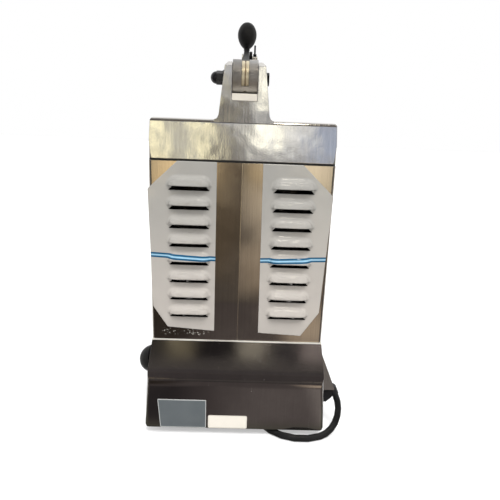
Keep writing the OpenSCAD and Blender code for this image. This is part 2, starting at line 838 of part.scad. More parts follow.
// Trapezium with round upper corners, standing on its base
module drafted(w, h, draft, r) {
    lean = atan(draft / h);
    top = w / 2 - draft;
    cx = top - r * (1 - sin(lean)) / cos(lean);
    cz = h - r;
    polygon([
        [-w / 2, 0], [w / 2, 0], [cx + r * cos(lean), cz + r * sin(lean)], [cx, h],
        [-cx, h], [-cx - r * cos(lean), cz + r * sin(lean)]
    ]);
    for (s = [-1, 1]) translate([s * cx, cz]) circle(r);
}

head_front_r = 24;

// Outer block of the cast head: drafted all round, with round front corners
module head_block() {
    intersection() {
        translate([0, 0, z_head]) along_y(rear_y, rear_y + head_d)
            drafted(column_w, head_h, head_draft, head_r);
        translate([0, rear_y + head_d / 2, z_head]) along_x(column_w)
            drafted(head_d, head_h, head_draft, head_r);
        translate([0, rear_y + head_d / 2, z_head]) linear_extrude(head_h) for (end = [-1, 1])
            intersection() {
                rounded(column_w, head_d, end > 0 ? head_front_r : head_r);
                translate([0, end * head_d / 4]) square([column_w, head_d / 2], center = true);
            }
    }
}

// Half-moon cross-section of the hopper, drawn as distance from the pivot and X
module moon(grow) {
    intersection() {
        translate([hopper_mid, 0]) circle(hopper_r + grow, $fn = 128);
        translate([hopper_near - grow, -far / 2]) square(far);
    }
}

// Sweeps the half moon about the lever's pivot, so that the pusher slides in it as the lever turns
module swept_moon(grow) {
    translate([0, pivot_y, pivot_z]) rotate([90, 0, 90]) rotate(hopper_low)
        rotate_extrude(angle = hopper_high - hopper_low, $fn = 128) moon(grow);
}

// Keeps what lies between two levels
module between(z0, z1) {
    intersection() {
        children();
        translate([-far, -far, z0]) cube([2 * far, 2 * far, z1 - z0]);
    }
}

fork_chamfer = 4;
fork_nose = 16;
fork_root = 6;

// Fork seen from behind, with its blends into the head
module fork_back() {
    b = fork_base_w / 2;
    t = fork_top_w / 2;
    c = fork_chamfer;
    polygon([[-b, -fork_root], [b, -fork_root], [b, 0], [t + 0.1, fork_h - c], [t - c, fork_h],
             [c - t, fork_h], [-t - 0.1, fork_h - c], [-b, 0]]);
    for (s = [-1, 1]) difference() {
        translate([s > 0 ? 0 : -b - fork_fillet, -fork_root])
            square([b + fork_fillet, fork_root + fork_fillet]);
        translate([s * (b + fork_fillet), fork_fillet]) circle(fork_fillet);
    }
}

module fork() {
    intersection() {
        translate([0, 0, z_crown]) along_y(rear_y + head_draft, rear_y + fork_d) fork_back();
        translate([0, rear_y, z_crown]) along_x(2 * fork_base_w) polygon([
            [0, -fork_root], [fork_d, -fork_root], [fork_d, fork_h - fork_nose],
            [fork_d - fork_nose, fork_h], [head_draft + 5, fork_h], [head_draft, fork_h - 5]
        ]);
    }
}

module hinge_lug(y) {
    rod_y(y - lug_len / 2, y + lug_len / 2, knuckle_r, hinge_x, hinge_z);
    translate([hinge_x, y - lug_len / 2, z_head])
        cube([head_wall / 2 - head_side - hinge_x, lug_len, knuckle_r + hinge_z - z_head]);
}

module cover_head() color("gainsboro") difference() {
    union() {
        difference() {
            union() {
                head_block();
                fork();
            }
            difference() {
                pocket_w = 2 * (head_side - head_wall);
                pocket_d = head_d - 2 * (head_draft + head_wall);
                translate([0, rear_y + head_d / 2, z_head - over]) linear_extrude(head_h - head_wall + over)
                    rounded(pocket_w, pocket_d, head_front_r - head_wall);
                between(z_hopper, z_crown) swept_moon(hopper_wall);
                rod_x(head_side - lift_deep - 2, head_side, lift_stud_d / 2 + lift_boss, lift_y, lift_z);
            }
        }
        between(z_hopper, z_crown - head_r) swept_moon(hopper_wall);
        for (y = hinge_places) hinge_lug(y);
    }
    swept_moon(0);
    translate([-slot_w / 2, rear_y, pivot_z - slot_drop]) rotate([slot_rise, 0, 0])
        translate([0, -fork_d, 0]) cube([slot_w, 3 * fork_d, fork_h]);
    rod_x(-fork_base_w, fork_base_w, pivot_d / 2 + run_fit, pivot_y, pivot_z);
    for (x = [-spot_x - spot_r, spot_x]) rod_x(x, x + spot_r, spot_r, pivot_y, pivot_z);
    for (y = hinge_places) rod_y(y - lug_len, y + lug_len, hinge_pin_d / 2, hinge_x, hinge_z);
    rod_x(head_side - lift_deep, column_w, lift_stud_d / 2 + run_fit, lift_y, lift_z);
}

// Knob on the head's right side, turned from one profile
module lift_knob() color("black") {
    neck = head_side + 2;
    ball_x = lift_reach - lift_r;
    rod_x(head_side - lift_deep + over, neck + over, lift_stud_d / 2, lift_y, lift_z);
    translate([0, lift_y, lift_z]) rotate([0, 90, 0]) rotate_extrude() intersection() {
        union() {
            translate([0, ball_x]) circle(lift_r);
            translate([0, neck]) square([lift_r / 2, ball_x - neck]);
        }
        translate([0, neck]) square([lift_r + over, far]);
    }
}

bolt_head_h = 4;
bolt_head_r = 8;
washer_t = 2;
nut_h = 8;
nut_r = 8.5;
dome_r = 7.6;

module pivot_bolt() color("dimgray") {
    rod_x(-spot_x - washer_t - nut_h, spot_x, pivot_d / 2, pivot_y, pivot_z);
    translate([spot_x, pivot_y, pivot_z]) rotate([0, 90, 0])
        cylinder(h = bolt_head_h, r = bolt_head_r, $fn = 6);
}

// Acorn nut on its washer; the pieces overlap so that they are one solid
module pivot_nut() color("black") difference() {
    nut_x = -spot_x - washer_t;
    dome_x = nut_x - nut_h;
    union() {
        rod_x(nut_x, -spot_x, nut_r + over, pivot_y, pivot_z);
        translate([nut_x + over, pivot_y, pivot_z]) rotate([0, -90, 0])
            cylinder(h = nut_h + over, r = nut_r, $fn = 6);
        intersection() {
            translate([dome_x, pivot_y, pivot_z]) sphere(dome_r);
            translate([dome_x - far + over, pivot_y - far / 2, pivot_z - far / 2]) cube(far);
        }
    }
    rod_x(dome_x, over, pivot_d / 2 + run_fit, pivot_y, pivot_z);
}

screw_turn = 229;
hub_screw_l = 5.5;

module lever_hub() color("silver") difference() {
    half = slot_w / 2 - hub_side_gap;
    rod_x(-half, half, hub_r, pivot_y, pivot_z);
    translate([-bar_t / 2 - bar_fit, pivot_y - 2 * hub_r, pivot_z - groove_low])
        cube([bar_t + 2 * bar_fit, 4 * hub_r, 3 * hub_r]);
    rod_x(-slot_w, slot_w, pivot_d / 2 + run_fit, pivot_y, pivot_z);
    hub_screw_rod(screw_d / 2 + screw_fit, hub_r + over);
}

module hub_screw_rod(r, end) {
    translate([0, pivot_y, pivot_z]) rotate([screw_turn - 90, 0, 0])
        translate([0, 0, hub_r - hub_screw_l]) cylinder(h = end - hub_r + hub_screw_l, r = r);
}

module hub_screw() color("black") difference() {
    hub_screw_rod(screw_d / 2, hub_r - loose);
    translate([0, pivot_y, pivot_z]) rotate([screw_turn - 90, 0, 0]) translate([0, 0, hub_r - 3])
        cylinder(h = 4, r = screw_d / 4, $fn = 6);
}

bar_nose = 11;
nose_h = 3;

module lever_bar() color("dimgray") difference() {
    union() {
        translate([0, pivot_y, pivot_z]) along_x(bar_t) {
            rotate(bar_rise) {
                translate([0, -bar_h / 2]) square([bar_len, bar_h]);
                translate([bar_len, 0]) circle(bar_h / 2);
            }
            intersection() {
                circle(eye_r);
                translate([-eye_r, -eye_low]) square([2 * eye_r, 2 * eye_r]);
            }
        }
        translate([0, bar_end_y, bar_end_z])
            cylinder(h = knob_foot_z - bar_end_z + knob_h / 2 - over, r = knob_stud_d / 2);
        translate([0, bar_end_y, knob_foot_z - nose_h]) cylinder(h = nose_h, r = bar_nose / 2);
    }
    rod_x(-slot_w, slot_w, pivot_d / 2 + run_fit, pivot_y, pivot_z);
    rod_x(-slot_w, slot_w, hanger_pin_d / 2 + run_fit, hanger_y, hanger_z);
    behind(pivot_y) difference() {
        rod_x(-eye_groove / 2, eye_groove / 2, eye_r + over, pivot_y, pivot_z);
        rod_x(-eye_groove, eye_groove, eye_r - eye_groove, pivot_y, pivot_z);
    }
}

// Egg-shaped knob turned from three arcs: a crown, the shoulders that touch it and the flanks below
module lever_knob() color("black") translate([0, bar_end_y, knob_foot_z]) difference() {
    half = knob_d / 2;
    up = knob_h - knob_mid;
    shoulder_r = (half * half + up * up - 2 * up * knob_crown_r) / (2 * (half - knob_crown_r));
    crown_z = knob_h - knob_crown_r;
    touch_z = crown_z + knob_crown_r * (crown_z - knob_mid) / (shoulder_r - knob_crown_r);
    draw_in = half - knob_neck_d / 2;
    flank_r = (knob_mid * knob_mid + draw_in * draw_in) / (2 * draw_in);
    rotate_extrude($fn = 96) {
        egg_arc(half - shoulder_r, shoulder_r, knob_mid, touch_z);
        egg_arc(half - flank_r, flank_r, 0, knob_mid);
        intersection() {
            translate([0, crown_z]) circle(knob_crown_r);
            translate([0, knob_mid]) square([knob_d, knob_h]);
        }
    }
    translate([0, 0, -over]) cylinder(h = knob_h / 2 + over, r = knob_stud_d / 2 + run_fit);
}

// Part of the egg's outline between two levels, on a circle about the egg's widest level
module egg_arc(x, r, low, high) {
    intersection() {
        translate([x, knob_mid]) circle(r);
        translate([0, low]) square([knob_d, high - low]);
    }
}

pin_start = -bar_t / 2 - loose;
pin_end = hanger_x + hanger_t + 9;
pin_head_t = 3;
clip_d = 3;
clip_x = hanger_x + hanger_t + 4.5;
clip_low = 9;
clip_high = 21;
hanger_foot_l = 24;
hanger_foot_w = 26;

module pusher_hanger() color("dimgray") difference() {
    foot_z = z_pusher + pusher_skin;
    union() {
        translate([hanger_x, hanger_y - hanger_w / 2, foot_z]) cube([hanger_t, hanger_w, hanger_z - foot_z]);
        rod_x(hanger_x, hanger_x + hanger_t, hanger_w / 2, hanger_y, hanger_z);
        translate([-hanger_foot_w / 2, hanger_y - hanger_foot_l / 2, foot_z])
            cube([hanger_foot_w, hanger_foot_l, hanger_t]);
    }
    rod_x(0, slot_w, hanger_pin_d / 2 + run_fit, hanger_y, hanger_z);
}

// Pin through the bar and the hanger: a head on the left, and a clip across its right end
module hanger_pin() color("silver") difference() {
    union() {
        rod_x(pin_start, pin_end, hanger_pin_d / 2, hanger_y, hanger_z);
        rod_x(pin_start - pin_head_t, pin_start, hanger_pin_d / 2 + pin_head_t, hanger_y, hanger_z);
    }
    translate([clip_x, hanger_y, hanger_z - hanger_pin_d])
        cylinder(h = 2 * hanger_pin_d, r = clip_d / 2 + run_fit);
}

module pin_clip() color("dimgray") translate([clip_x, hanger_y, hanger_z]) {
    translate([0, 0, -clip_low]) cylinder(h = clip_low + clip_high, r = clip_d / 2);
    translate([0, 0, hanger_pin_d / 2]) cylinder(h = clip_d, r = clip_d);
}

module pusher_plate() color("gainsboro") difference() {
    between(z_pusher, z_pusher + pusher_t) swept_moon(-pusher_gap);
    between(z_pusher + pusher_skin, z_pusher + pusher_t + over) swept_moon(-pusher_gap - pusher_skin);
}

spigot_r = shaft_d / 2 - 2;
nut_top = 9;

module drive_shaft() color("silver") translate([0, disc_y, 0]) {
    translate([0, 0, z_pulley - 3]) cylinder(h = hub_top - z_pulley + 3, r = shaft_d / 2);
    translate([0, 0, z_floor + loose]) cylinder(h = collar_t, r = shaft_d / 2 + 3);
    translate([0, 0, hub_top]) cylinder(h = z_disc + nut_top - 1 - hub_top, r = spigot_r);
}

blade_n = 2;
blade_rim = 4.5;
blade_w = 24;
blade_t = 2;
blade_in = 24;
blade_gap = 10;
blade_l = disc_d / 2 - blade_in - blade_rim;
blade_head = 1.2;
blade_pack = 8;

// Places one blade's frame: along the disc's radius, with the cut running behind its edge
module at_blades() {
    translate([0, disc_y, 0]) for (i = [0 : blade_n - 1])
        rotate(i * 360 / blade_n) translate([blade_in, 0, 0]) children();
}

module slicing_disc() color("silver") difference() {
    translate([0, disc_y, 0]) {
        translate([0, 0, z_disc - disc_t]) cylinder(h = disc_t, r = disc_d / 2, $fn = 128);
        translate([0, 0, hub_top]) cylinder(h = z_disc - hub_top, r = shaft_d);
    }
    translate([0, disc_y, hub_top - over]) cylinder(h = far, r = spigot_r + run_fit);
    at_blades() translate([0, -blade_gap, z_disc - 2 * disc_t]) cube([blade_l, blade_gap, 3 * disc_t]);
    at_blades() blade_screw_places() translate([0, 0, z_disc - 2 * disc_t])
        cylinder(h = 3 * disc_t, r = screw_d / 2 + screw_fit);
}

module blade_screw_places() {
    for (x = [0.2, 0.8]) translate([x * blade_l, blade_w * 0.65, 0]) children();
}

// Blade ground to an edge, on a packing strip that sets the slice
module disc_blades() color("lightgray") at_blades() difference() {
    union() {
        translate([0, blade_pack, z_disc]) cube([blade_l, blade_w - blade_pack, blade_lift - blade_t]);
        translate([0, 0, z_disc + blade_lift - blade_t]) rotate([90, 0, 90]) linear_extrude(blade_l)
            polygon([[-2, 0.2], [6, blade_t], [blade_w, blade_t], [blade_w, 0], [-2, 0]]);
    }
    blade_screw_places() translate([0, 0, z_disc - over])
        cylinder(h = 3 * disc_t, r = screw_d / 2 + screw_fit);
    blade_screw_places() translate([0, 0, z_disc + blade_lift - blade_head])
        cylinder(h = disc_t, r = screw_head_d / 2 + loose);
}

module blade_screws() color("gray") at_blades() blade_screw_places() {
    translate([0, 0, z_disc - disc_t]) cylinder(h = disc_t + blade_lift - blade_head, r = screw_d / 2);
    translate([0, 0, z_disc + blade_lift - blade_head]) cylinder(h = blade_head, r = screw_head_d / 2);
}

module disc_nut() color("silver") translate([0, disc_y, z_disc]) difference() {
    union() {
        cylinder(h = 3, r = spigot_r + 5);
        cylinder(h = nut_top, r = spigot_r + 4, $fn = 6);
    }
    translate([0, 0, -over]) cylinder(h = nut_top + 2 * over, r = spigot_r + run_fit);
}

paddle_n = 3;
paddle_h = 26;
ejector_r = bowl_r - 10;
ejector_t = 3;

module ejector_plate() color("white") translate([0, disc_y, z_ejector]) difference() {
    union() {
        cylinder(h = ejector_t, r = ejector_r, $fn = 96);
        cylinder(h = hub_top - z_ejector, r = shaft_d);
        for (i = [0 : paddle_n - 1]) rotate(i * 360 / paddle_n)
            translate([0, -2, 0]) cube([ejector_r - 2, 4, paddle_h]);
    }
    translate([0, 0, -over]) cylinder(h = far, r = shaft_d / 2 + run_fit);
}

// Flanged belt pulley with a hub
module pulley(r, bore) {
    difference() {
        union() {
            cylinder(h = pulley_w, r = r, $fn = 128);
            for (z = [0, pulley_w - flange_t]) translate([0, 0, z])
                cylinder(h = flange_t, r = r + flange_h, $fn = 128);
        }
        translate([0, 0, -over]) cylinder(h = pulley_w + 2 * over, r = bore + run_fit);
        if (r > 2 * driver_r) for (a = [0 : 72 : 288]) rotate(a) translate([r * 0.58, 0, -over])
            cylinder(h = pulley_w + 2 * over, r = r * 0.2);
    }
}

module driven_pulley() color("gray") translate([0, disc_y, z_pulley]) pulley(driven_r, shaft_d / 2);

module motor_pulley() color("gray") translate([0, motor_y, z_pulley]) pulley(driver_r, motor_shaft_d / 2);

module motor_shaft() color("silver") translate([0, motor_y, z_fan - 2])
    cylinder(h = z_pulley + pulley_w + 2 - z_fan + 2, r = motor_shaft_d / 2);

fan_blade_n = 7;
fan_t = 2;
fan_r = motor_d / 2 - 8;

module motor_fan() color("dimgray") translate([0, motor_y, z_fan]) difference() {
    union() {
        cylinder(h = fan_h, r = motor_shaft_d / 2 + 6);
        translate([0, 0, fan_h - fan_t]) cylinder(h = fan_t, r = fan_r);
        for (i = [0 : fan_blade_n - 1]) rotate(i * 360 / fan_blade_n)
            translate([0, -fan_t / 2, over]) cube([fan_r - fan_t, fan_t, fan_h - fan_t]);
    }
    translate([0, 0, -over]) cylinder(h = fan_h + 2 * over, r = motor_shaft_d / 2 + run_fit);
}

module button_collars() color("silver") for (b = [[stop_y, stop_d / 2 - 4], [start_y, start_d / 2 + 4]])
    difference() {
        rod_x(button_x - collar_out, button_x + over, b[1], b[0], button_z);
        along_y(base_rear, base_front) base_back(0, z_base);
        rod_x(button_x - far, button_x + far, stem_r + loose, b[0], button_z);
        if (b[0] == start_y)
            rod_x(button_x - far, button_x - sheet, start_d / 2 + loose, b[0], button_z);
    }

// Domed head of the stop button on its stem
module stop_button() color("black") {
    crown_r = (stop_d * stop_d / 4 + dome_h * dome_h) / (2 * dome_h);
    tip = button_x - stop_out;
    rod_x(tip + dome_h, button_x + stem_in, stem_r, stop_y, button_z);
    intersection() {
        translate([tip + crown_r, stop_y, button_z]) sphere(crown_r, $fn = 96);
        translate([tip, stop_y - stop_d, button_z - stop_d]) cube([dome_h, 2 * stop_d, 2 * stop_d]);
    }
}

module start_button() color("green") {
    rod_x(button_x - start_out, button_x - sheet - button_travel - loose, start_d / 2, start_y, button_z);
    rod_x(button_x - sheet - button_travel - loose, button_x + stem_in, stem_r, start_y, button_z);
}

block_h = 40;
block_t = 24;
block_end = 18;
sleeve_wall = 4;

// Switch block behind the buttons, carried by its two sleeves
module switch_block() color("darkslategray") difference() {
    union() {
        for (y = [stop_y, start_y]) intersection() {
            rod_x(button_x, button_x + sheet + block_in, stem_r + sleeve_wall, y, button_z);
            along_y(base_rear, base_front) base_back(sheet, z_base);
        }
        translate([button_x + sheet + block_in, stop_y - block_end, button_z - block_h / 2])
            cube([block_t, start_y - stop_y + 2 * block_end, block_h]);
    }
    for (y = [stop_y, start_y])
        rod_x(button_x, button_x + sheet + block_in, stem_r + loose, y, button_z);
}

hood_lip = 2;
hood_lap = 18;

// Folded sheet hood over the cord entry, open below
module cord_hood() color("dimgray") difference() {
    in = hood_top - hood_lap;
    along_y(hood_y, hood_y + hood_len) polygon([
        [wall_x(hood_top), hood_top], [hood_x, hood_low + hood_lip], [hood_x, hood_low],
        [wall_x(hood_low), hood_low]
    ]);
    along_y(hood_y + sheet, hood_y + hood_len - sheet) polygon([
        [wall_x(in) + sheet, in], [hood_x - sheet, hood_low + hood_lip], [hood_x - sheet, hood_low - over],
        [wall_x(hood_low) + sheet, hood_low - over]
    ]);
}

gland_chamfer = 8;

// Places a piece on the cord's exit: its own Z runs the way that the cord leaves
module on_exit() {
    turn = atan2(exit_dir[1], exit_dir[0]);
    tilt = acos(exit_dir[2]);
    translate(exit_p + [0, rear_y, 0]) rotate([0, tilt, turn]) children();
}

// Block of the gland, with the tapered relief that the cord leaves through
module cable_gland() color("black") {
    difference() {
        union() {
            along_y(gland_y, gland_y + gland_l) polygon([
                [wall_x(gland_high), gland_high], [gland_x, gland_high], [gland_x, gland_low + gland_chamfer],
                [gland_x - gland_chamfer, gland_low], [wall_x(gland_low), gland_low]
            ]);
            on_exit() translate([0, 0, -relief_in])
                cylinder(h = relief_in + relief_out, r1 = relief_r, r2 = cord_d / 2 + over);
        }
        on_exit() cylinder(h = far, r = cord_d / 2 + screw_fit);
        along_y(base_rear, base_front) base_back(0, z_base);
        translate([0, base_rear, gland_high]) cube(far);
    }
}

function unit(v) = v / norm(v);

// Directions of a path at each of its points
function headings(p) = [for (i = [0 : len(p) - 1])
    unit(p[min(i + 1, len(p) - 1)] - p[max(i - 1, 0)])];

// Round tube along a path, closed at both ends, all in triangles
module tube(p, r, n) {
    d = headings(p);
    ends = len(p) - 1;
    points = [for (i = [0 : ends]) let (s = unit(cross(d[i], [0, 0, 1])), u = cross(s, d[i]))
        for (k = [0 : n - 1]) p[i] + r * (cos(360 * k / n) * s + sin(360 * k / n) * u)];
    walls = [for (i = [0 : ends - 1], k = [0 : n - 1]) let (a = i * n + k, b = i * n + (k + 1) % n)
        each [[a, b, b + n], [a, b + n, a + n]]];
    caps = [for (k = [1 : n - 2]) each [[0, k + 1, k], [ends * n, ends * n + k, ends * n + k + 1]]];
    polyhedron(points, concat(walls, caps), convexity = 10);
}

module cord_lead() color("black") translate([0, rear_y, 0]) tube(cord_route, cord_d / 2, 12);

// Coil: in along the lower layer, up in the half turn where it reverses, and out along the upper layer
coil_rings = 24;
coil_in_r = coil_out - coil_step * coil_turns;
coil_all = 2 * coil_turns + 0.5;

function coil_radius(t) = t < coil_turns ? coil_out - coil_step * t
    : t < coil_turns + 0.5 ? coil_in_r - coil_step * min(t - coil_turns, coil_turns + 0.5 - t)
    : coil_in_r + coil_step * (t - coil_turns - 0.5);

function coil_level(t) = coil_z + coil_step * max(0, min(1, 2 * (t - coil_turns)));

function coil_point(t) = [
    lead_x - coil_out + coil_radius(t) * cos(360 * t), coil_y + coil_radius(t) * sin(360 * t), coil_level(t)
];

coil_turn_points = [for (i = [0 : coil_all * coil_rings]) coil_point(i / coil_rings)];
coil_points = concat(
    [[lead_x, coil_y - cord_d, coil_z], [lead_x, coil_y - cord_d / 2, coil_z]],
    [for (i = [1 : len(coil_turn_points) - 2]) coil_turn_points[i]],
    [[plug_x, coil_y - cord_d, coil_z + coil_step], [plug_x, plug_y, coil_z + coil_step]]
);

// Least gap of the coil to itself, between points that are not on the same bend
coil_least = min([for (i = [0 : len(coil_points) - 1], j = [i + 9 : 1 : len(coil_points) - 1])
    norm(coil_points[i] - coil_points[j])]) - cord_d;
echo(coil_least_gap = coil_least);

module cord_coil() color("black") tube(coil_points, cord_d / 2, 6);

// Strap round the coil's turns on the side away from the machine
module cord_tie() color("dimgray") {
    near_r = coil_in_r - coil_step / 4 - cord_d / 2 - tie_fit;
    far_r = coil_out + cord_d / 2 + tie_fit;
    top = coil_z + coil_step + cord_d / 2 + tie_fit;
    low = coil_z - cord_d / 2 - loose / 2;
    translate([lead_x - coil_out, coil_y, 0]) along_x(tie_w) difference() {
        translate([near_r - tie_t, low - tie_t]) square([far_r - near_r + 2 * tie_t, top - low + 2 * tie_t]);
        translate([near_r, low]) square([far_r - near_r, top - low]);
    }
}

plug_axis_z = coil_z + coil_step;
plug_wall = 1.5;
plug_neck_r = 11;
plug_flare = 6;

// Moulded plug lying beside the coil, with its tapered relief towards the cord
module cord_plug() color("black") translate([plug_x, plug_y, plug_axis_z]) rotate([90, 0, 0]) {
    cylinder(h = plug_relief, r1 = cord_d / 2 + plug_wall, r2 = plug_neck_r);
    translate([0, 0, plug_relief]) cylinder(h = plug_flare, r1 = plug_neck_r, r2 = plug_r);
    translate([0, 0, plug_relief + plug_flare]) cylinder(h = plug_l - plug_flare, r = plug_r);
}

blade_pin = [1.5, 6.3];
blade_spread = 12.7;
earth_d = 4.8;
earth_drop = 8;

module plug_pins() color("gold") translate([plug_x, plug_y - plug_relief - plug_l, plug_axis_z]) {
    for (s = [-1, 1])
        translate([s * blade_spread / 2 - blade_pin[0] / 2, -pin_l, earth_drop / 2 - blade_pin[1] / 2])
            cube([blade_pin[0], pin_l, blade_pin[1]]);
    rod_y(-pin_l - 2, 0, earth_d / 2, 0, -earth_drop / 2);
}

base_casing();
base_plate();
feet();
foot_screws();
column_casing();
rear_panel();
casing_screws();
chamber_bowl();
bowl_screws();
bearings();
shaft_seal();
drive_belt();
motor_body();
motor_plate();
motor_bolts();
discharge_chute();
chute_screws();
hinge_brackets();
hinge_pin();
bracket_screws();
switch_block();
button_collars();
cord_hood();
cable_gland();
cover_head();
lift_knob();
pivot_bolt();
pivot_nut();
lever_hub();
hub_screw();
lever_bar();
lever_knob();
pusher_hanger();
hanger_pin();
pin_clip();
pusher_plate();
drive_shaft();
slicing_disc();
disc_blades();
blade_screws();
disc_nut();
ejector_plate();
driven_pulley();
motor_shaft();
motor_pulley();
motor_fan();
stop_button();
start_button();
cord_lead();
cord_coil();
cord_tie();
cord_plug();
plug_pins();
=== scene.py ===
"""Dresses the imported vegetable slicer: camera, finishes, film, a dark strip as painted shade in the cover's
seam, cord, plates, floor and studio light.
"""

import math

import bmesh
import bpy
from mathutils import Matrix, Vector, noise


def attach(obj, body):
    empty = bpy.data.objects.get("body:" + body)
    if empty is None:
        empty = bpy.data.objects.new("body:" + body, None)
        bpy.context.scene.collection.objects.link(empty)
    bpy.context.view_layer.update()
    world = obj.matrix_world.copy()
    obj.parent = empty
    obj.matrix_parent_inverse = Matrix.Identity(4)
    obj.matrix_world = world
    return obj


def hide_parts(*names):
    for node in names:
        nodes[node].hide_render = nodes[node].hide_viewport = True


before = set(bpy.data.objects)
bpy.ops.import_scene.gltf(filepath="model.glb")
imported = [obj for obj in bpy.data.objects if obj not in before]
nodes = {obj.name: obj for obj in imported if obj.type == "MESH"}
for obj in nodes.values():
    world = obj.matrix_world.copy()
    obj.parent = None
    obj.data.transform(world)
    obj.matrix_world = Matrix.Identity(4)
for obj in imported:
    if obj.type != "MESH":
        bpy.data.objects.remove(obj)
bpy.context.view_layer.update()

# The camera's place, its turns to the right, down and round (degrees), its lens and its sensor (mm)
CAMERA_PLACE = (0.0026, -0.7253, 0.4227)
CAMERA_TURNS = (1.1, 15.31, 2.12)
CAMERA_LENS = 31.68
CAMERA_SENSOR = 36

# Places on the machine, in metres, as part.scad has them
COLUMN_BACK = -0.156
COLUMN_TOP = 0.381
SKIRT_BACK = -0.189
PIVOT_Y = -0.128
PIVOT_Z = 0.4847
HUB_R = 0.0225
FORK_HALF = 0.0158

# Painted highlights along the bend between the base and the back panel: on the base's top fold above the first
# height, and on the back panel's foot below the second
FOLD_HIGHLIGHT = 0.1308
FOOT_HIGHLIGHT = 0.134

# Louvre hoods: the middle of a row, half of the straight part, the radius, the reach, and the lips below them
LOUVRE_X = 0.068
LOUVRE_HALF = 0.016
LOUVRE_R = 0.01557
LOUVRE_OUT = 0.007
LIP_TOP = 0.350
LIP_PITCH = 0.0252
LIPS = 8

# Openings that the film leaves under the lips: half their width, their depth, and where their ends slope
SLOT_REACH = 0.0275
SLOT_LOW = 0.006
SLOT_TAPER = 0.78

# Painted shade behind those openings, black on the panel: how far it reaches down from a lip and aside
DARK_LOW = 0.009
DARK_REACH = 0.030

# Film: outlines on the two louvred halves in X and Z, then its grid, thickness, stand-off and wrinkles
FILM_LEFT = [
    (-0.083, 0.3812), (-0.1215, 0.345), (-0.1175, 0.182), (-0.098, 0.152), (-0.033, 0.147), (-0.0325, 0.3812),
]
FILM_RIGHT = [
    (0.0265, 0.3812), (0.029, 0.146), (0.089, 0.143), (0.113, 0.179), (0.1195, 0.342), (0.078, 0.3812),
]
FILM_STEP = 0.0012
FILM_COLUMNS = 80
FILM_ROWS = 204
FILM_ROWS_ABOVE = 26
FILM_MIDDLE = 0.074
FILM_THICK = 0.00012
FILM_OFF = 0.0003
FILM_SOFT = 0.002
FILM_WRINKLE = 0.00015
FILM_WAVES = (55, 75)

# A length too small to see, which decides on which side of an edge a point lies
HAIR = 0.00001

# The pair of blue lines on the film: their height at the middle, their rise outwards, and each one's offset
BLUE_Z = 0.2514
BLUE_RISE = 0.044
BLUE_OFFSET = 0.0023

# Black strip under the cover's rim, put in the seam as painted shade: its outline in X and Y, its gap over the
# column, width, thickness and corners
SEAM_STRIP = [(-0.119, -0.155), (0.119, -0.155), (0.119, 0.144), (-0.119, 0.144)]
SEAM_STRIP_GAP = 0.0003
SEAM_STRIP_WIDE = 0.005
SEAM_STRIP_THICK = 0.0021
SEAM_STRIP_ROUND = 0.002

# Side of the stop block in the fork, Y and Z: its foot follows the fork's sloping floor
STOP_BLOCK = [(-0.1526, 0.4564), (-0.1430, 0.4581), (-0.1430, 0.4649), (-0.1526, 0.4649)]
STOP_BEVEL = 0.0005

# Mains cord: its radius, where it leaves its gland, its ways from there, along the floor and under the
# machine, the radius of the bends between them, the steps in a bend, and where its lead meets the coil
CORD_R = 0.00475
CORD_EXIT = (0.141, COLUMN_BACK, 0.0615)
EXIT_WAY = Vector((0.47, -0.2, -0.86)).normalized()
FLOOR_WAY = Vector((-0.91, -0.41, 0)).normalized()
UNDER_WAY = Vector((0, 1, 0))
DROP_BEND = 0.038
FLOOR_BEND = 0.066
BEND_STEPS = 7
LEAD_X = 0.004

# The lead's points under the machine: X, the distance in from the column's back, and the rise off the floor
LEAD_UNDER = [
    (0.027, 0.060, 0), (0.024, 0.100, 0), (0.020, 0.140, 0), (0.016, 0.180, 0), (0.012, 0.220, 0),
    (0.008, 0.260, 0), (0.005, 0.295, 0), (LEAD_X, 0.325, 0), (LEAD_X, 0.350, 0.0004),
]

# The cord's coil: its middle, height, pitch and radius, its turns in each of two layers, the turns that climb
# between them, and the points in a turn
COIL_Y = COLUMN_BACK + 0.400
COIL_Z = 0.00605
COIL_STEP = 0.0102
COIL_OUT = 0.0577
COIL_TURNS = 2
COIL_CLIMB = 0.5
COIL_POINTS = 24

# Bare plates on the skirt: outlines in X and Z
RATING = [(-0.108, 0.057), (-0.1047, 0.0128), (-0.0405, 0.0128), (-0.0405, 0.057)]
LABEL = [(-0.0376, 0.033), (-0.0376, 0.0126), (0.0174, 0.0126), (0.0174, 0.033)]

# The room that the metal mirrors: half its width and its depth, its ceiling, and where its sides end
ROOM = 1.6
ROOM_TOP = 1.65
ROOM_NEAR = -0.1
ROOM_FAR = -1.8


def scene_object(name, data):
    """A new object in the scene, at the origin."""
    thing = bpy.data.objects.new(name, data)
    bpy.context.collection.objects.link(thing)
    return thing


def photo_camera():
    """The camera as it stood for the photograph, behind the machine and a little above its middle."""
    yaw, pitch, roll = (math.radians(a) for a in CAMERA_TURNS)
    ahead = Vector((math.sin(yaw) * math.cos(pitch), math.cos(yaw) * math.cos(pitch), -math.sin(pitch)))
    right = Vector((math.cos(yaw), -math.sin(yaw), 0))
    up = right.cross(ahead)
    side = math.cos(roll) * right + math.sin(roll) * up
    top = math.cos(roll) * up - math.sin(roll) * right
    turn = Matrix((side, top, -ahead)).transposed().to_4x4()
    lens = bpy.data.cameras.new("photo_camera")
    lens.lens = CAMERA_LENS
    lens.sensor_width = CAMERA_SENSOR
    camera = scene_object("photo_camera", lens)
    camera.matrix_world = Matrix.Translation(CAMERA_PLACE) @ turn
    bpy.context.scene.camera = camera


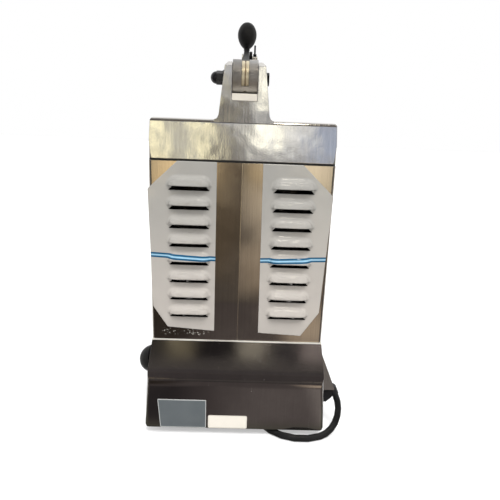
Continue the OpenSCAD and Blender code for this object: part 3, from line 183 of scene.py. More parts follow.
class Finish:
    """One procedural material: its shader, and short ways to add the nodes that feed it."""

    def __init__(self, name, edge=0.0, **fixed):
        self.material = bpy.data.materials.new(name)
        self.material.use_nodes = True
        self.tree = self.material.node_tree
        self.shader = self.tree.nodes["Principled BSDF"]
        for socket, value in fixed.items():
            self.shader.inputs[socket.replace("_", " ")].default_value = value
        self.place = self.add("ShaderNodeTexCoord", {}).outputs["Object"]
        self.under = None
        if edge:
            self.under = self.add("ShaderNodeBevel", {"Radius": edge}, samples=4).outputs["Normal"]

    def add(self, kind, inputs, **settings):
        """Adds a node with its settings and inputs."""
        node = self.tree.nodes.new(kind)
        for name, value in settings.items():
            setattr(node, name, value)
        for name, value in inputs.items():
            self.put(node.inputs[name], value)
        return node

    def put(self, socket, value):
        """Links a socket to another node's output, or sets it to a constant."""
        if isinstance(value, bpy.types.NodeSocket):
            self.tree.links.new(value, socket)
        else:
            socket.default_value = value

    def feed(self, socket, value):
        """Feeds one of the shader's own sockets."""
        self.put(self.shader.inputs[socket], value)

    def noise(self, scale, detail=3.0, rough=0.5, stretch=None, turn=0.0):
        """Noise on the piece's own coordinates, which may be stretched and turned about Y."""
        where = self.place
        if stretch:
            lie = {"Vector": where, "Rotation": (0, turn, 0), "Scale": stretch}
            where = self.add("ShaderNodeMapping", lie).outputs["Vector"]
        inputs = {"Vector": where, "Scale": scale, "Detail": detail, "Roughness": rough}
        return self.add("ShaderNodeTexNoise", inputs).outputs["Fac"]

    def cells(self, scale):
        """How far a point lies from the nearest of many scattered points."""
        return self.add("ShaderNodeTexVoronoi", {"Vector": self.place, "Scale": scale}).outputs["Distance"]

    def axis(self, name):
        """One of the piece's own coordinates."""
        return self.add("ShaderNodeSeparateXYZ", {"Vector": self.place}).outputs[name]

    def calc(self, operation, a, b=0.0, c=0.0):
        """One step of arithmetic on up to three values."""
        node = self.add("ShaderNodeMath", {}, operation=operation)
        for socket, value in zip(node.inputs, (a, b, c)):
            self.put(socket, value)
        return node.outputs["Value"]

    def size(self, a):
        """A value without its sign."""
        return self.calc("ABSOLUTE", a)

    def apart(self, a, b):
        """How far apart two values are."""
        return self.size(self.calc("SUBTRACT", a, b))

    def times(self, a, b):
        """The product of two values."""
        return self.calc("MULTIPLY", a, b)

    def span(self, value, low, high, to_low=0.0, to_high=1.0):
        """Takes a value smoothly from one range to another, and holds it at the ends."""
        inputs = {"Value": value, "From Min": low, "From Max": high, "To Min": to_low, "To Max": to_high}
        return self.add("ShaderNodeMapRange", inputs, interpolation_type="SMOOTHSTEP").outputs["Result"]

    def fall(self, value, low, high):
        """One up to the low end, falling to nothing at the high end."""
        return self.span(value, low, high, 1.0, 0.0)

    def blend(self, amount, a, b):
        """Mixes two colours: the first at an amount of nothing, the second at one."""
        node = self.add("ShaderNodeMix", {}, data_type="RGBA")
        for index, value in ((0, amount), (6, a), (7, b)):
            if isinstance(value, tuple) and len(value) == 3:
                value = (*value, 1.0)
            self.put(node.inputs[index], value)
        return node.outputs[2]

    def bump(self, height, distance):
        """Adds one more layer of relief over those before it."""
        inputs = {"Height": height, "Distance": distance}
        if self.under is not None:
            inputs["Normal"] = self.under
        self.under = self.add("ShaderNodeBump", inputs).outputs["Normal"]
        self.feed("Normal", self.under)

    def inside(self, corners):
        """How far a point lies inside an outline in X and Z, its corners anticlockwise seen from behind."""
        least = None
        for (x0, z0), (x1, z1) in zip(corners, corners[1:] + corners[:1]):
            long = math.hypot(x1 - x0, z1 - z0)
            across = ((z0 - z1) / long, 0.0, (x1 - x0) / long)
            past = self.add("ShaderNodeVectorMath", {0: self.place, 1: across}, operation="DOT_PRODUCT")
            edge = self.calc("SUBTRACT", past.outputs["Value"], across[0] * x0 + across[2] * z0)
            least = edge if least is None else self.calc("MINIMUM", least, edge)
        return least


def brushed(name, colour, shade, rough, grain, wave=0.0003):
    """Sheet or turned steel with a fine drawn grain, hand smudges and the slight waviness of thin sheet."""
    f = Finish(name, edge=0.0005, Metallic=1.0)
    lines = f.noise(grain, 3, 0.55, (1, 1, 0.012))
    smudge = f.noise(11, 5, 0.62)
    tone = f.calc("MULTIPLY_ADD", f.span(lines, 0.25, 0.75), 0.45, f.span(smudge, 0.3, 0.7, 0.0, 0.55))
    f.feed("Base Color", f.blend(tone, shade, colour))
    smear = f.span(smudge, 0.35, 0.7, rough * 0.8, rough * 1.3)
    f.feed("Roughness", f.calc("MULTIPLY_ADD", lines, rough * 0.2, smear))
    f.bump(f.noise(7, 1, 0.4), wave)
    f.bump(lines, 0.000012)
    return f.material


def skirt_steel():
    """Polished base: near a mirror, hazed by wiping, with fine scratches, pale specks and a painted highlight
    along its top fold.
    """
    f = Finish("polished_skirt", edge=0.0006, Metallic=1.0)
    haze = f.noise(9, 5, 0.62)
    lines = f.noise(800, 3, 0.55, (1, 1, 0.03))
    steel = f.blend(f.span(haze, 0.3, 0.7), (0.42, 0.395, 0.38), (0.52, 0.495, 0.475))
    steel = f.blend(f.span(lines, 0.3, 0.8, 0.0, 0.25), steel, (0.36, 0.34, 0.33))
    scratch = f.span(f.noise(420, 2, 0.5, (1, 1, 0.05), 1.1), 0.70, 0.74)
    specks = f.times(f.fall(f.cells(120), 0.035, 0.055), f.span(f.noise(14, 2, 0.5), 0.52, 0.60))
    marks = f.calc("MAXIMUM", f.times(scratch, 0.12), f.times(specks, 0.4))
    # Painted highlight: a pale, dull line along the base's top fold, joined to the scratches and specks in the
    # marks
    high = f.span(f.axis("Z"), FOLD_HIGHLIGHT, FOLD_HIGHLIGHT + 0.001)
    fold = f.times(high, f.fall(f.axis("Y"), COLUMN_BACK + 0.0015, COLUMN_BACK + 0.0025))
    marks = f.calc("MAXIMUM", marks, f.times(fold, f.span(haze, 0.3, 0.6, 0.3, 0.75)))
    f.feed("Base Color", f.blend(marks, steel, (0.72, 0.70, 0.63)))
    f.feed("Metallic", f.span(marks, 0.0, 1.0, 1.0, 0.2))
    gloss = f.span(haze, 0.3, 0.7, 0.06, 0.13)
    f.feed("Roughness", f.calc("MULTIPLY_ADD", marks, 0.5, gloss))
    f.bump(f.noise(6, 1, 0.4), 0.0003)
    f.bump(lines, 0.000008)
    return f.material


def cast_metal(name, colour, shade, rough, pits=0.00003, wave=0.0009):
    """Polished casting: soft hollows, faint pits and slanting strokes, duller where hands rub it less."""
    f = Finish(name, edge=0.0009, Metallic=1.0)
    cloud = f.noise(17, 6, 0.65)
    stroke = f.noise(420, 3, 0.6, (1, 1, 0.05), 0.8)
    tone = f.calc("MULTIPLY_ADD", f.span(stroke, 0.3, 0.75), 0.3, f.span(cloud, 0.3, 0.68, 0.0, 0.7))
    f.feed("Base Color", f.blend(tone, shade, colour))
    dull = f.span(cloud, 0.3, 0.7, rough * 1.3, rough * 0.8)
    f.feed("Roughness", f.calc("MULTIPLY_ADD", stroke, rough * 0.3, dull))
    f.bump(f.noise(22, 2, 0.5), wave)
    f.bump(stroke, 0.00002)
    f.bump(f.noise(520, 2, 0.5), pits)
    return f.material


def moulded(name, colour, shade, rough, grain=900, depth=0.00004, gloss=0.5):
    """Moulded plastic, rubber or enamel: a fine grain, with dust and rub marks in its colour and gloss."""
    f = Finish(name, edge=0.0005, Specular_IOR_Level=gloss)
    dust = f.noise(30, 5, 0.65)
    fine = f.noise(grain, 2, 0.6)
    f.feed("Base Color", f.blend(f.span(dust, 0.35, 0.75), colour, shade))
    f.feed("Roughness", f.span(dust, 0.3, 0.7, rough * 0.85, min(1.0, rough * 1.2)))
    f.bump(fine, depth)
    return f.material


def bare_back():
    """Back panel's bare steel: a pale seam, adhesive specks at the left, a painted highlight at its foot, and
    painted black shade under the lips.
    """
    f = Finish("bare_back_steel", edge=0.0005, Metallic=1.0)
    x, z = f.axis("X"), f.axis("Z")
    aside = f.size(x)
    lines = f.noise(700, 3, 0.55, (1, 1, 0.012))
    smudge = f.noise(13, 5, 0.62)
    steel = f.blend(f.span(smudge, 0.3, 0.7), (0.50, 0.46, 0.41), (0.62, 0.58, 0.52))
    steel = f.blend(f.span(lines, 0.3, 0.75, 0.0, 0.35), steel, (0.40, 0.37, 0.33))
    steel = f.blend(f.fall(aside, 0.0003, 0.0008), steel, (0.85, 0.78, 0.65))
    left = f.times(f.span(x, -0.112, -0.098), f.fall(x, -0.046, -0.036))
    low = f.times(f.span(z, 0.138, 0.142), f.fall(z, 0.146, 0.152))
    specks = f.times(f.span(f.noise(400, 3, 0.7), 0.60, 0.66), f.times(left, low))
    steel = f.blend(specks, steel, (0.70, 0.68, 0.61))
    f.feed("Metallic", f.fall(specks, 0.0, 1.0))
    # Painted highlight: a pale line along the panel's foot, at the bend into the base
    foot = f.times(f.fall(z, FOOT_HIGHLIGHT, FOOT_HIGHLIGHT + 0.0015), f.span(x, -0.04, 0.02, 0.4, 1.0))
    steel = f.blend(foot, steel, (0.90, 0.86, 0.76))
    # Painted shade: black, dull steel under each of the lips, behind the film's openings
    under = f.calc("WRAP", f.calc("SUBTRACT", LIP_TOP, z), LIP_PITCH, 0.0)
    painted_slot_shade = f.fall(f.apart(aside, LOUVRE_X), DARK_REACH, DARK_REACH + 0.001)
    painted_slot_shade = f.times(painted_slot_shade, f.fall(under, DARK_LOW, DARK_LOW + 0.0005))
    rows = f.apart(z, LIP_TOP - (LIPS - 1) / 2 * LIP_PITCH)
    painted_slot_shade = f.times(painted_slot_shade, f.calc("LESS_THAN", rows, LIPS / 2 * LIP_PITCH))
    f.feed("Base Color", f.blend(painted_slot_shade, steel, (0.004, 0.004, 0.004)))
    f.feed("Roughness", f.calc("MULTIPLY_ADD", painted_slot_shade, 0.6, f.span(smudge, 0.3, 0.7, 0.11, 0.2)))
    f.bump(f.times(aside, -1.0), 0.06)
    f.bump(f.noise(8, 1, 0.4), 0.0005)
    f.bump(lines, 0.000012)
    return f.material


def film_plastic():
    """Protective film: satin warm grey, with painted shade that makes it darker and cooler towards the top,
    creased on the hoods, with two blue lines.
    """
    f = Finish("protective_film", Specular_IOR_Level=0.8)
    x, y, z = f.axis("X"), f.axis("Y"), f.axis("Z")
    haze = f.noise(26, 5, 0.6)
    # Painted shade: the same film drawn darker and cooler at the top than at the bottom
    upper = f.blend(haze, (0.31, 0.30, 0.277), (0.36, 0.35, 0.325))
    lower = f.blend(haze, (0.44, 0.405, 0.37), (0.50, 0.465, 0.425))
    sheet = f.blend(f.span(z, 0.17, 0.37), lower, upper)
    off = f.apart(z, f.calc("MULTIPLY_ADD", f.size(x), BLUE_RISE, BLUE_Z))
    sheet = f.blend(f.fall(off, 0.0016, 0.0022), sheet, (0.28, 0.49, 0.64))
    stroke = f.fall(f.apart(off, BLUE_OFFSET), 0.0010, 0.0014)
    f.feed("Base Color", f.blend(stroke, sheet, (0.012, 0.085, 0.17)))
    f.feed("Roughness", f.span(haze, 0.3, 0.7, 0.08, 0.15))
    f.bump(f.noise(45, 3, 0.5), 0.00012)
    hood = f.fall(y, COLUMN_BACK - 0.005, COLUMN_BACK - 0.002)
    f.bump(f.times(f.noise(170, 2, 0.5, (0.4, 1, 1)), hood), 0.0024)
    f.bump(f.noise(900, 2, 0.6), 0.00001)
    return f.material


def lever_paint():
    """Lever bar: a painted reflection, cream in the hub's groove with a brown painted shade line down its
    middle, and a painted dark reflection, black, beyond it.
    """
    f = Finish("lever_bar_finish", edge=0.0004)
    cloud = f.noise(70, 4, 0.6)
    # Painted reflection: the bare bar drawn cream where it shows in the hub's groove
    plate = f.blend(cloud, (0.62, 0.53, 0.36), (0.78, 0.69, 0.50))
    # Painted shade: a brown line down the middle, between the two cream strips
    middle = f.fall(f.size(f.axis("X")), 0.0004, 0.0011)
    plate = f.blend(f.times(middle, 0.75), plate, (0.20, 0.12, 0.06))
    away = f.calc("SUBTRACT", f.axis("Y"), PIVOT_Y)
    above = f.calc("SUBTRACT", f.axis("Z"), PIVOT_Z)
    far = f.calc("SQRT", f.calc("MULTIPLY_ADD", away, away, f.times(above, above)))
    # Painted dark reflection: black and not metallic beyond the hub's radius
    black = f.span(far, HUB_R, HUB_R + 0.002)
    f.feed("Base Color", f.blend(black, plate, (0.010, 0.010, 0.010)))
    f.feed("Metallic", f.span(black, 0.0, 1.0, 0.7, 0.0))
    f.feed("Roughness", f.span(cloud, 0.3, 0.7, 0.3, 0.42))
    f.bump(f.noise(400, 3, 0.6), 0.00003)
    return f.material


# Finishes: name, colour, shade and roughness, then the grain or relief where it isn't the usual one
STEEL = brushed("drawn_steel", (0.54, 0.53, 0.515), (0.42, 0.41, 0.395), 0.19, 700)
SCREW = brushed("plated_screw", (0.66, 0.65, 0.62), (0.54, 0.53, 0.50), 0.28, 900, 0.0001)
GROUND = brushed("ground_steel", (0.72, 0.71, 0.69), (0.62, 0.61, 0.59), 0.16, 900, 0.0001)
BRASS = brushed("pin_brass", (0.80, 0.62, 0.30), (0.66, 0.50, 0.22), 0.25, 900, 0.0001)
CAST = cast_metal("polished_casting", (0.84, 0.82, 0.78), (0.64, 0.62, 0.59), 0.11)
HUB = cast_metal("turned_hub", (0.60, 0.59, 0.58), (0.48, 0.47, 0.46), 0.46, 0.00006, 0.0001)
DARK_STEEL = cast_metal("blackened_steel", (0.03, 0.03, 0.032), (0.015, 0.015, 0.016), 0.4, 0.0001)
NUT = moulded("black_enamel", (0.008, 0.008, 0.009), (0.015, 0.015, 0.015), 0.14, 500, 0.00002, 0.35)
BLACK = moulded("black_moulding", (0.012, 0.012, 0.013), (0.025, 0.025, 0.025), 0.36, gloss=0.25)
KNOB = moulded("knob_black", (0.008, 0.008, 0.008), (0.017, 0.016, 0.015), 0.4, 420, 0.0002, 0.15)
RUBBER = moulded("foot_rubber", (0.018, 0.018, 0.018), (0.04, 0.039, 0.037), 0.75, gloss=0.25)
JACKET = moulded("cord_jacket", (0.008, 0.008, 0.008), (0.018, 0.018, 0.018), 0.3, 600, gloss=0.3)
GREEN = moulded("start_green", (0.02, 0.24, 0.07), (0.03, 0.30, 0.10), 0.25, 900, 0.00002)
WHITE = moulded("ejector_white", (0.80, 0.80, 0.77), (0.70, 0.70, 0.66), 0.4)
BLOCK = moulded("stop_block_grey", (0.66, 0.61, 0.52), (0.58, 0.54, 0.47), 0.5)
MOTOR = moulded("motor_paint", (0.10, 0.11, 0.13), (0.14, 0.15, 0.17), 0.4)
FILM = film_plastic()

# The CAD nodes that wear each finish
DRESS = {
    STEEL: "column_casing discharge_chute cord_hood base_plate hinge_brackets motor_plate",
    skirt_steel(): "base_casing",
    bare_back(): "rear_panel",
    SCREW: "foot_screws casing_screws bowl_screws motor_bolts chute_screws hinge_pin bracket_screws "
    "hanger_pin blade_screws hub_screw",
    GROUND: "bearings drive_shaft disc_blades disc_nut motor_shaft",
    lever_paint(): "lever_bar",
    CAST: "cover_head chamber_bowl pusher_plate slicing_disc driven_pulley motor_pulley",
    HUB: "lever_hub",
    DARK_STEEL: "pivot_bolt pusher_hanger pin_clip",
    NUT: "pivot_nut",
    BLACK: "switch_block button_collars cable_gland lift_knob motor_fan cord_tie",
    KNOB: "lever_knob stop_button",
    RUBBER: "feet shaft_seal drive_belt",
    JACKET: "cord_lead cord_coil cord_plug",
    GREEN: "start_button",
    WHITE: "ejector_plate",
    MOTOR: "motor_body",
    BRASS: "plug_pins",
}


def dress_nodes():
    """Gives every CAD node its finish."""
    for finish, names in DRESS.items():
        for name in names.split():
            nodes[name].data.materials.clear()
            nodes[name].data.materials.append(finish)


def thing_of(name, mesh, finish):
    """Makes a finished bmesh an object."""
    data = bpy.data.meshes.new(name)
    mesh.to_mesh(data)
    mesh.free()
    data.materials.append(finish)
    return scene_object(name, data)


def piece(name, mesh, finish, body="root"):
    """A new piece of the machine that rides on a body."""
    thing = thing_of(name, mesh, finish)
    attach(thing, body)


def round_corners(mesh, face, offset):
    """Rounds the corners of a flat face."""
    bmesh.ops.bevel(
        mesh, geom=face.verts[:], offset=offset, segments=5, profile=0.5, affect="VERTICES", material=-1,
    )


def draw_out(mesh, way):
    """Draws a flat mesh out into a solid."""
    drawn = bmesh.ops.extrude_face_region(mesh, geom=mesh.faces[:])["geom"]
    bmesh.ops.translate(mesh, vec=way, verts=[v for v in drawn if isinstance(v, bmesh.types.BMVert)])
    bmesh.ops.recalc_face_normals(mesh, faces=mesh.faces)


def film_lift(x, z):
    """How far the film stands off the panel: it follows the hoods with soft edges and wrinkles a little."""
    lift = FILM_OFF
    above = z - LIP_TOP + HAIR
    if -LIPS < math.floor(above / LIP_PITCH) <= 0:
        beyond = max(abs(abs(x) - LOUVRE_X) - LOUVRE_HALF, 0.0)
        far = math.hypot(beyond, above % LIP_PITCH)
        deep = LOUVRE_R - LOUVRE_OUT
        rise = math.sqrt(LOUVRE_R**2 - far**2) - deep if far < LOUVRE_R else deep - far
        lift += max(rise, 0.0) + max(FILM_SOFT - abs(rise), 0.0) ** 2 / (4 * FILM_SOFT)
    lift += FILM_WRINKLE * (1 + noise.noise((x * FILM_WAVES[0], 0, z * FILM_WAVES[1])))
    return lift


def in_slot(at):
    """Whether a place on the film lies in one of the openings under the lips."""
    off = abs(abs(at.x) - LOUVRE_X) / SLOT_REACH
    under = -((at.z - LIP_TOP) % -LIP_PITCH)
    row = math.floor((LIP_TOP - at.z) / LIP_PITCH)
    high = SLOT_LOW * max(off - SLOT_TAPER, 0.0) / (1 - SLOT_TAPER)
    return off < 1 and 0 <= row < LIPS and high <= under < SLOT_LOW


def film_sheet(name, corners, side):
    """One film sheet: a fine grid cut to its outline, opened at the slots and laid over the hoods."""
    wide, tall = FILM_COLUMNS * FILM_STEP, FILM_ROWS * FILM_STEP
    mesh = bmesh.new()
    bmesh.ops.create_grid(mesh, x_segments=FILM_COLUMNS, y_segments=FILM_ROWS, size=0.5)
    bmesh.ops.scale(mesh, vec=(wide, tall, 1), verts=mesh.verts)
    bmesh.ops.rotate(mesh, matrix=Matrix.Rotation(math.pi / 2, 3, "X"), verts=mesh.verts)
    middle = (side * FILM_MIDDLE, COLUMN_BACK, LIP_TOP + FILM_ROWS_ABOVE * FILM_STEP - tall / 2)
    bmesh.ops.translate(mesh, vec=middle, verts=mesh.verts)
    for (x0, z0), (x1, z1) in zip(corners, corners[1:] + corners[:1]):
        bmesh.ops.bisect_plane(
            mesh, geom=mesh.verts[:] + mesh.edges[:] + mesh.faces[:], dist=HAIR,
            plane_co=(x0, COLUMN_BACK, z0), plane_no=(z1 - z0, 0, x0 - x1), clear_outer=True,
        )
    open_faces = [face for face in mesh.faces if in_slot(face.calc_center_median())]
    bmesh.ops.delete(mesh, geom=open_faces, context="FACES")
    for vert in mesh.verts:
        vert.co.y = COLUMN_BACK - film_lift(vert.co.x, vert.co.z)
    for face in mesh.faces:
        face.smooth = True
    bmesh.ops.recalc_face_normals(mesh, faces=mesh.faces)
    bmesh.ops.solidify(mesh, geom=mesh.faces[:], thickness=FILM_THICK)
    piece(name, mesh, FILM)


def seam_shade_strip():
    """Rubber strip under the cover's rim, a dark piece standing in for the shade in the seam between the cover
    and the column.
    """
    mesh = bmesh.new()
    face = mesh.faces.new([mesh.verts.new((x, y, COLUMN_TOP + SEAM_STRIP_GAP)) for x, y in SEAM_STRIP])
    round_corners(mesh, face, SEAM_STRIP_ROUND)
    ring = bmesh.ops.inset_region(mesh, faces=mesh.faces[:], thickness=SEAM_STRIP_WIDE, use_boundary=True)["faces"]
    bmesh.ops.delete(mesh, geom=[f for f in mesh.faces if f not in ring], context="FACES_ONLY")
    draw_out(mesh, (0, 0, SEAM_STRIP_THICK))
    piece("seam_shade_strip", mesh, RUBBER, "cover")


def stop_block():
    """Pale block on the fork's floor, which shows under the hub."""
    mesh = bmesh.new()
    mesh.faces.new([mesh.verts.new((-FORK_HALF, y, z)) for y, z in STOP_BLOCK])
    draw_out(mesh, (2 * FORK_HALF, 0, 0))
    bmesh.ops.bevel(
        mesh, geom=mesh.edges[:], offset=STOP_BEVEL, segments=2, profile=0.5, affect="EDGES", material=-1,
    )
    piece("stop_block", mesh, BLOCK, "cover")


def bend(start, ahead, towards, radius):
    """Points of a bend that sets out one way and turns to another, with both its ends."""
    turn = ahead.angle(towards)
    side = (towards - math.cos(turn) * ahead).normalized()
    angles = [turn * i / BEND_STEPS for i in range(BEND_STEPS + 1)]
    return [start + radius * (math.sin(a) * ahead + (1 - math.cos(a)) * side) for a in angles]


def lead_route():
    """The lead's line from part.scad: straight out of its gland, down, round on the floor and to the coil."""
    start = Vector(CORD_EXIT)
    drop = bend(start, EXIT_WAY, FLOOR_WAY, DROP_BEND)[-1]
    run = (drop.z - CORD_R) / -EXIT_WAY.z
    down = bend(start + run * EXIT_WAY, EXIT_WAY, FLOOR_WAY, DROP_BEND)
    around = bend(down[-1], FLOOR_WAY, UNDER_WAY, FLOOR_BEND)
    line = [CORD_EXIT]
    line += [tuple(at) for at in [start + run / 2 * EXIT_WAY] + down[:-1] + around]
    line += [(x, COLUMN_BACK + far, CORD_R + rise) for x, far, rise in LEAD_UNDER]
    line += [(LEAD_X, COIL_Y - n * CORD_R, COIL_Z) for n in (4, 2, 1)]
    return line


def cord_route():
    """The whole cord's line from part.scad: its lead, then the coil's two layers up to the plug."""
    line = lead_route()
    inner = COIL_OUT - COIL_STEP * COIL_TURNS
    for i in range(1, int((2 * COIL_TURNS + COIL_CLIMB) * COIL_POINTS)):
        t = i / COIL_POINTS
        if t < COIL_TURNS:
            r = COIL_OUT - COIL_STEP * t
        elif t < COIL_TURNS + COIL_CLIMB:
            r = inner - COIL_STEP * min(t - COIL_TURNS, COIL_TURNS + COIL_CLIMB - t)
        else:
            r = inner + COIL_STEP * (t - COIL_TURNS - COIL_CLIMB)
        x = LEAD_X - COIL_OUT + r * math.cos(math.tau * t)
        y = COIL_Y + r * math.sin(math.tau * t)
        z = COIL_Z + COIL_STEP * max(0.0, min(1.0, (t - COIL_TURNS) / COIL_CLIMB))
        line.append((x, y, z))
    end_x = LEAD_X - 2 * COIL_OUT
    line += [(end_x, COIL_Y - n * CORD_R, COIL_Z + COIL_STEP) for n in (2, 4)]
    return line


def mains_cord():
    """Mains cord along its route, in place of the solids of its lead and coil."""
    line = cord_route()
    curve = bpy.data.curves.new("mains_cord", "CURVE")
    curve.dimensions = "3D"
    curve.bevel_depth = CORD_R
    curve.bevel_resolution = 6
    curve.use_fill_caps = True
    spline = curve.splines.new("POLY")
    spline.points.add(len(line) - 1)
    for point, at in zip(spline.points, line):
        point.co = (*at, 1.0)
    curve.materials.append(JACKET)
    cord = scene_object("mains_cord", curve)
    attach(cord, "root")
    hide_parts("cord_lead", "cord_coil")


def bare_plate(name, corners, thick, round_off, paint):
    """A blank plate or label stuck to the back of the skirt."""
    mesh = bmesh.new()
    face = mesh.faces.new([mesh.verts.new((x, SKIRT_BACK, z)) for x, z in corners])
    round_corners(mesh, face, round_off)
    draw_out(mesh, (0, -thick, 0))
    f = Finish(name)
    paint(f, corners)
    f.bump(f.noise(500, 2), 0.00002)
    piece(name, mesh, f.material)


def plate_paint(f, corners):
    """Grey-blue etched metal with a pale rim."""
    cloud = f.noise(60, 5, 0.6)
    rim = f.fall(f.inside(corners), 0.0006, 0.0011)
    grey = f.blend(cloud, (0.092, 0.109, 0.116), (0.132, 0.147, 0.154))
    f.feed("Base Color", f.blend(rim, grey, (0.48, 0.49, 0.48)))
    f.feed("Roughness", f.span(cloud, 0.3, 0.7, 0.4, 0.55))


def label_paint(f, corners):
    """Cream paper, a little soiled towards its edges."""
    cloud = f.noise(90, 5, 0.65)
    soiled = f.span(f.inside(corners), 0.0, 0.003, 0.5, 0.0)
    cream = f.blend(cloud, (0.86, 0.81, 0.72), (0.78, 0.73, 0.64))
    f.feed("Base Color", f.blend(soiled, cream, (0.60, 0.55, 0.47)))
    f.feed("Roughness", f.span(cloud, 0.3, 0.7, 0.5, 0.65))


def card(name, corners, axes, ground, patches):
    """A reflector card that only reflections see: a ground colour with soft patches.

    Each patch gives its middle, its half sizes, the softness of its edge and its colour.
    """
    mesh = bmesh.new()
    mesh.faces.new([mesh.verts.new(c) for c in corners])
    f = Finish(name, Base_Color=(0, 0, 0, 1), Roughness=1.0, Specular_IOR_Level=0.0, Emission_Strength=1.0)
    across, along = f.axis(axes[0]), f.axis(axes[1])
    glow = ground
    for u, v, half_u, half_v, soft, colour in patches:
        past_u = f.calc("SUBTRACT", f.apart(across, u), half_u)
        past_v = f.calc("SUBTRACT", f.apart(along, v), half_v)
        glow = f.blend(f.fall(f.calc("MAXIMUM", past_u, past_v), -soft, soft), glow, colour)
    f.feed("Emission Color", glow)
    thing = thing_of(name, mesh, f.material)
    thing.visible_camera = thing.visible_diffuse = thing.visible_shadow = False
    thing.visible_transmission = thing.visible_volume_scatter = False


def level_card(name, height, near, ground, patches):
    """A level card that runs from the room's wall to its near edge."""
    corners = [(-ROOM, -ROOM, height), (ROOM, -ROOM, height), (ROOM, near, height), (-ROOM, near, height)]
    card(name, corners, "XY", ground, patches)


def reflector_cards():
    """What the polished metal mirrors behind the machine: a dim room with a wall, table, shelf and window."""
    wall = [(-ROOM, -ROOM, 0), (ROOM, -ROOM, 0), (ROOM, -ROOM, ROOM_TOP), (-ROOM, -ROOM, ROOM_TOP)]
    card("wall_card", wall, "XZ", (0.10, 0.09, 0.085), [
        (0, 0.62, ROOM, 0.24, 0.06, (0.42, 0.42, 0.43)),
        (-0.40, 0.58, 0.045, 0.2, 0.03, (1.9, 1.75, 1.15)),
        (-0.19, 0.56, 0.035, 0.16, 0.03, (1.9, 1.75, 1.15)),
        (-0.075, 0.50, 0.06, 0.13, 0.03, (0.12, 0.105, 0.095)),
        (-0.10, 0.72, 0.05, 0.08, 0.03, (0.50, 0.55, 0.70)),
        (0.0, 0.64, 0.04, 0.05, 0.03, (0.95, 0.93, 0.86)),
        (0.10, 0.66, 0.05, 0.14, 0.03, (1.9, 1.85, 1.6)),
        (0.24, 0.60, 0.07, 0.08, 0.06, (1.2, 1.2, 1.2)),
        (0.40, 0.54, 0.09, 0.16, 0.04, (0.40, 0.45, 0.58)),
        (0.52, 0.54, 0.02, 0.16, 0.015, (1.6, 1.6, 1.5)),
        (-0.47, 0.26, 0.14, 0.12, 0.04, (1.55, 1.20, 0.70)),
        (-0.23, 0.26, 0.08, 0.09, 0.03, (0.19, 0.145, 0.10)),
        (0.26, 0.26, 0.07, 0.09, 0.03, (0.86, 0.68, 0.42)),
        (0.47, 0.26, 0.14, 0.12, 0.04, (1.50, 1.32, 1.00)),
    ])
    level_card("shelf_card", 0.14, -0.28, (0.115, 0.098, 0.085), [
        (0.10, -0.50, 0.075, 0.16, 0.06, (0.42, 0.34, 0.26)),
        (-0.22, -0.9, 0.16, 0.5, 0.05, (0.13, 0.10, 0.07)),
        (-0.5, -1.2, 0.14, 0.3, 0.08, (0.6, 0.46, 0.28)),
        (0.27, -1.15, 0.10, 0.55, 0.12, (1.15, 0.98, 0.76)),
        (0.55, -1.0, 0.14, 0.5, 0.08, (0.80, 0.68, 0.45)),
    ])
    level_card("table_card", 0.375, -0.52, (0.085, 0.075, 0.075), [
        (0, -1.06, ROOM, 0.2, 0.2, (0.065, 0.058, 0.058)),
    ])
    level_card("under_card", 0.138, -0.28, (0.075, 0.065, 0.065), [
        (0, -1.2, ROOM, 0.3, 0.2, (0.06, 0.053, 0.053)),
    ])
    level_card("floor_card", 0.0006, -0.16, (0.105, 0.089, 0.087), [
        (0.12, -0.27, 0.12, 0.07, 0.06, (0.16, 0.138, 0.132)),
        (-0.15, -0.27, 0.08, 0.07, 0.05, (0.040, 0.035, 0.036)),
        (0.155, -0.27, 0.03, 0.09, 0.015, (0.27, 0.24, 0.225)),
        (0, -0.19, ROOM, 0.02, 0.02, (0.12, 0.12, 0.095)),
        (-0.28, -0.56, 0.15, 0.18, 0.04, (0.034, 0.027, 0.022)),
        (-0.6, -0.6, 0.2, 0.3, 0.08, (0.03, 0.024, 0.02)),
        (0.20, -0.50, 0.06, 0.10, 0.03, (0.60, 0.49, 0.38)),
        (0, -1.2, ROOM, 0.35, 0.1, (0.06, 0.053, 0.053)),
    ])
    ceiling = [(x, y, ROOM_TOP) for x, y in (
        (-ROOM, ROOM_NEAR), (-ROOM, ROOM_FAR), (ROOM, ROOM_FAR), (ROOM, ROOM_NEAR),
    )]
    card("ceiling_card", ceiling, "XY", (0.24, 0.23, 0.22), [
        (0, -1.8, ROOM, 0.6, 0.1, (0.022, 0.019, 0.020)),
        (0.95, -1.8, 0.80, 0.6, 0.1, (0.048, 0.043, 0.044)),
        (-0.34, -1.5, 0.07, 0.14, 0.02, (0.25, 0.215, 0.14)),
        (-0.38, -1.44, 0.02, 0.04, 0.02, (0.60, 0.54, 0.37)),
        (0.08, -1.5, 0.08, 0.14, 0.02, (0.42, 0.385, 0.31)),
        (0.46, -1.5, 0.08, 0.14, 0.02, (0.40, 0.34, 0.32)),
        (0.17, -0.95, 0.06, 0.25, 0.02, (13.0, 11.8, 9.8)),
    ])
    for name, x in (("left_card", -ROOM), ("right_card", ROOM)):
        side = [(x, -ROOM, 0), (x, ROOM_NEAR, 0), (x, ROOM_NEAR, ROOM_TOP), (x, -ROOM, ROOM_TOP)]
        card(name, side, "YZ", (0.15, 0.15, 0.14), [
            (-0.1, 0.8, 0.3, 1.0, 0.3, (0.7, 0.69, 0.67)),
        ])


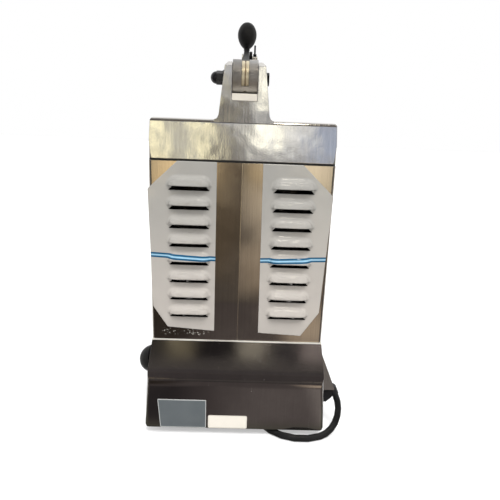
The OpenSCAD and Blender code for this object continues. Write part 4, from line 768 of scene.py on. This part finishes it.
def paper_floor():
    """Pale floor that keeps the shadow and runs out to white for the camera."""
    half, glow = 12, 0.42
    mesh = bmesh.new()
    bmesh.ops.create_grid(mesh, x_segments=1, y_segments=1, size=half)
    f = Finish("floor_paper", Roughness=0.95, Emission_Color=(1, 1, 1, 1))
    f.feed("Base Color", f.blend(f.noise(3, 4), (0.56, 0.56, 0.56), (0.58, 0.58, 0.58)))
    seen = f.add("ShaderNodeLightPath", {}).outputs["Is Camera Ray"]
    f.feed("Emission Strength", f.times(seen, glow))
    thing_of("floor", mesh, f.material)


def white_surround():
    """A world that is white to the camera, to metal and to glass, and a softer light to the rest."""
    soft_light, white = 0.6, 1.0
    world = bpy.data.worlds.new("surround")
    bpy.context.scene.world = world
    world.use_nodes = True
    tree = world.node_tree
    back = tree.nodes["Background"]
    path = tree.nodes.new("ShaderNodeLightPath")
    seen = path.outputs["Is Camera Ray"]
    for ray in ("Is Glossy Ray", "Is Transmission Ray"):
        most = tree.nodes.new("ShaderNodeMath")
        most.operation = "MAXIMUM"
        tree.links.new(seen, most.inputs[0])
        tree.links.new(path.outputs[ray], most.inputs[1])
        seen = most.outputs["Value"]
    level = tree.nodes.new("ShaderNodeMapRange")
    level.inputs["To Min"].default_value = soft_light
    level.inputs["To Max"].default_value = white
    tree.links.new(seen, level.inputs["Value"])
    back.inputs["Color"].default_value = (1, 1, 1, 1)
    tree.links.new(level.outputs["Result"], back.inputs["Strength"])


def soft_lamps():
    """Three soft suns that the metal doesn't mirror: each one's way, spread in degrees and power."""
    for name, towards, spread, power in (
        ("key_lamp", (-0.12, 0.55, -1.1), 25, 3.2),
        ("fill_lamp", (0.9, 0.3, -0.8), 60, 0.5),
        ("front_lamp", (-0.3, -1.0, -0.8), 60, 1.2),
    ):
        lamp = bpy.data.lights.new(name, "SUN")
        lamp.angle = math.radians(spread)
        lamp.energy = power
        thing = scene_object(name, lamp)
        thing.rotation_euler = Vector(towards).to_track_quat("-Z", "Y").to_euler()
        thing.visible_glossy = False


photo_camera()
dress_nodes()
film_sheet("film_left", FILM_LEFT, -1)
film_sheet("film_right", FILM_RIGHT, 1)
seam_shade_strip()
stop_block()
mains_cord()
bare_plate("rating_plate", RATING, thick=0.0006, round_off=0.0012, paint=plate_paint)
bare_plate("white_label", LABEL, thick=0.0003, round_off=0.0022, paint=label_paint)
reflector_cards()
paper_floor()
white_surround()
soft_lamps()

bpy.context.scene.view_settings.view_transform = "Standard"
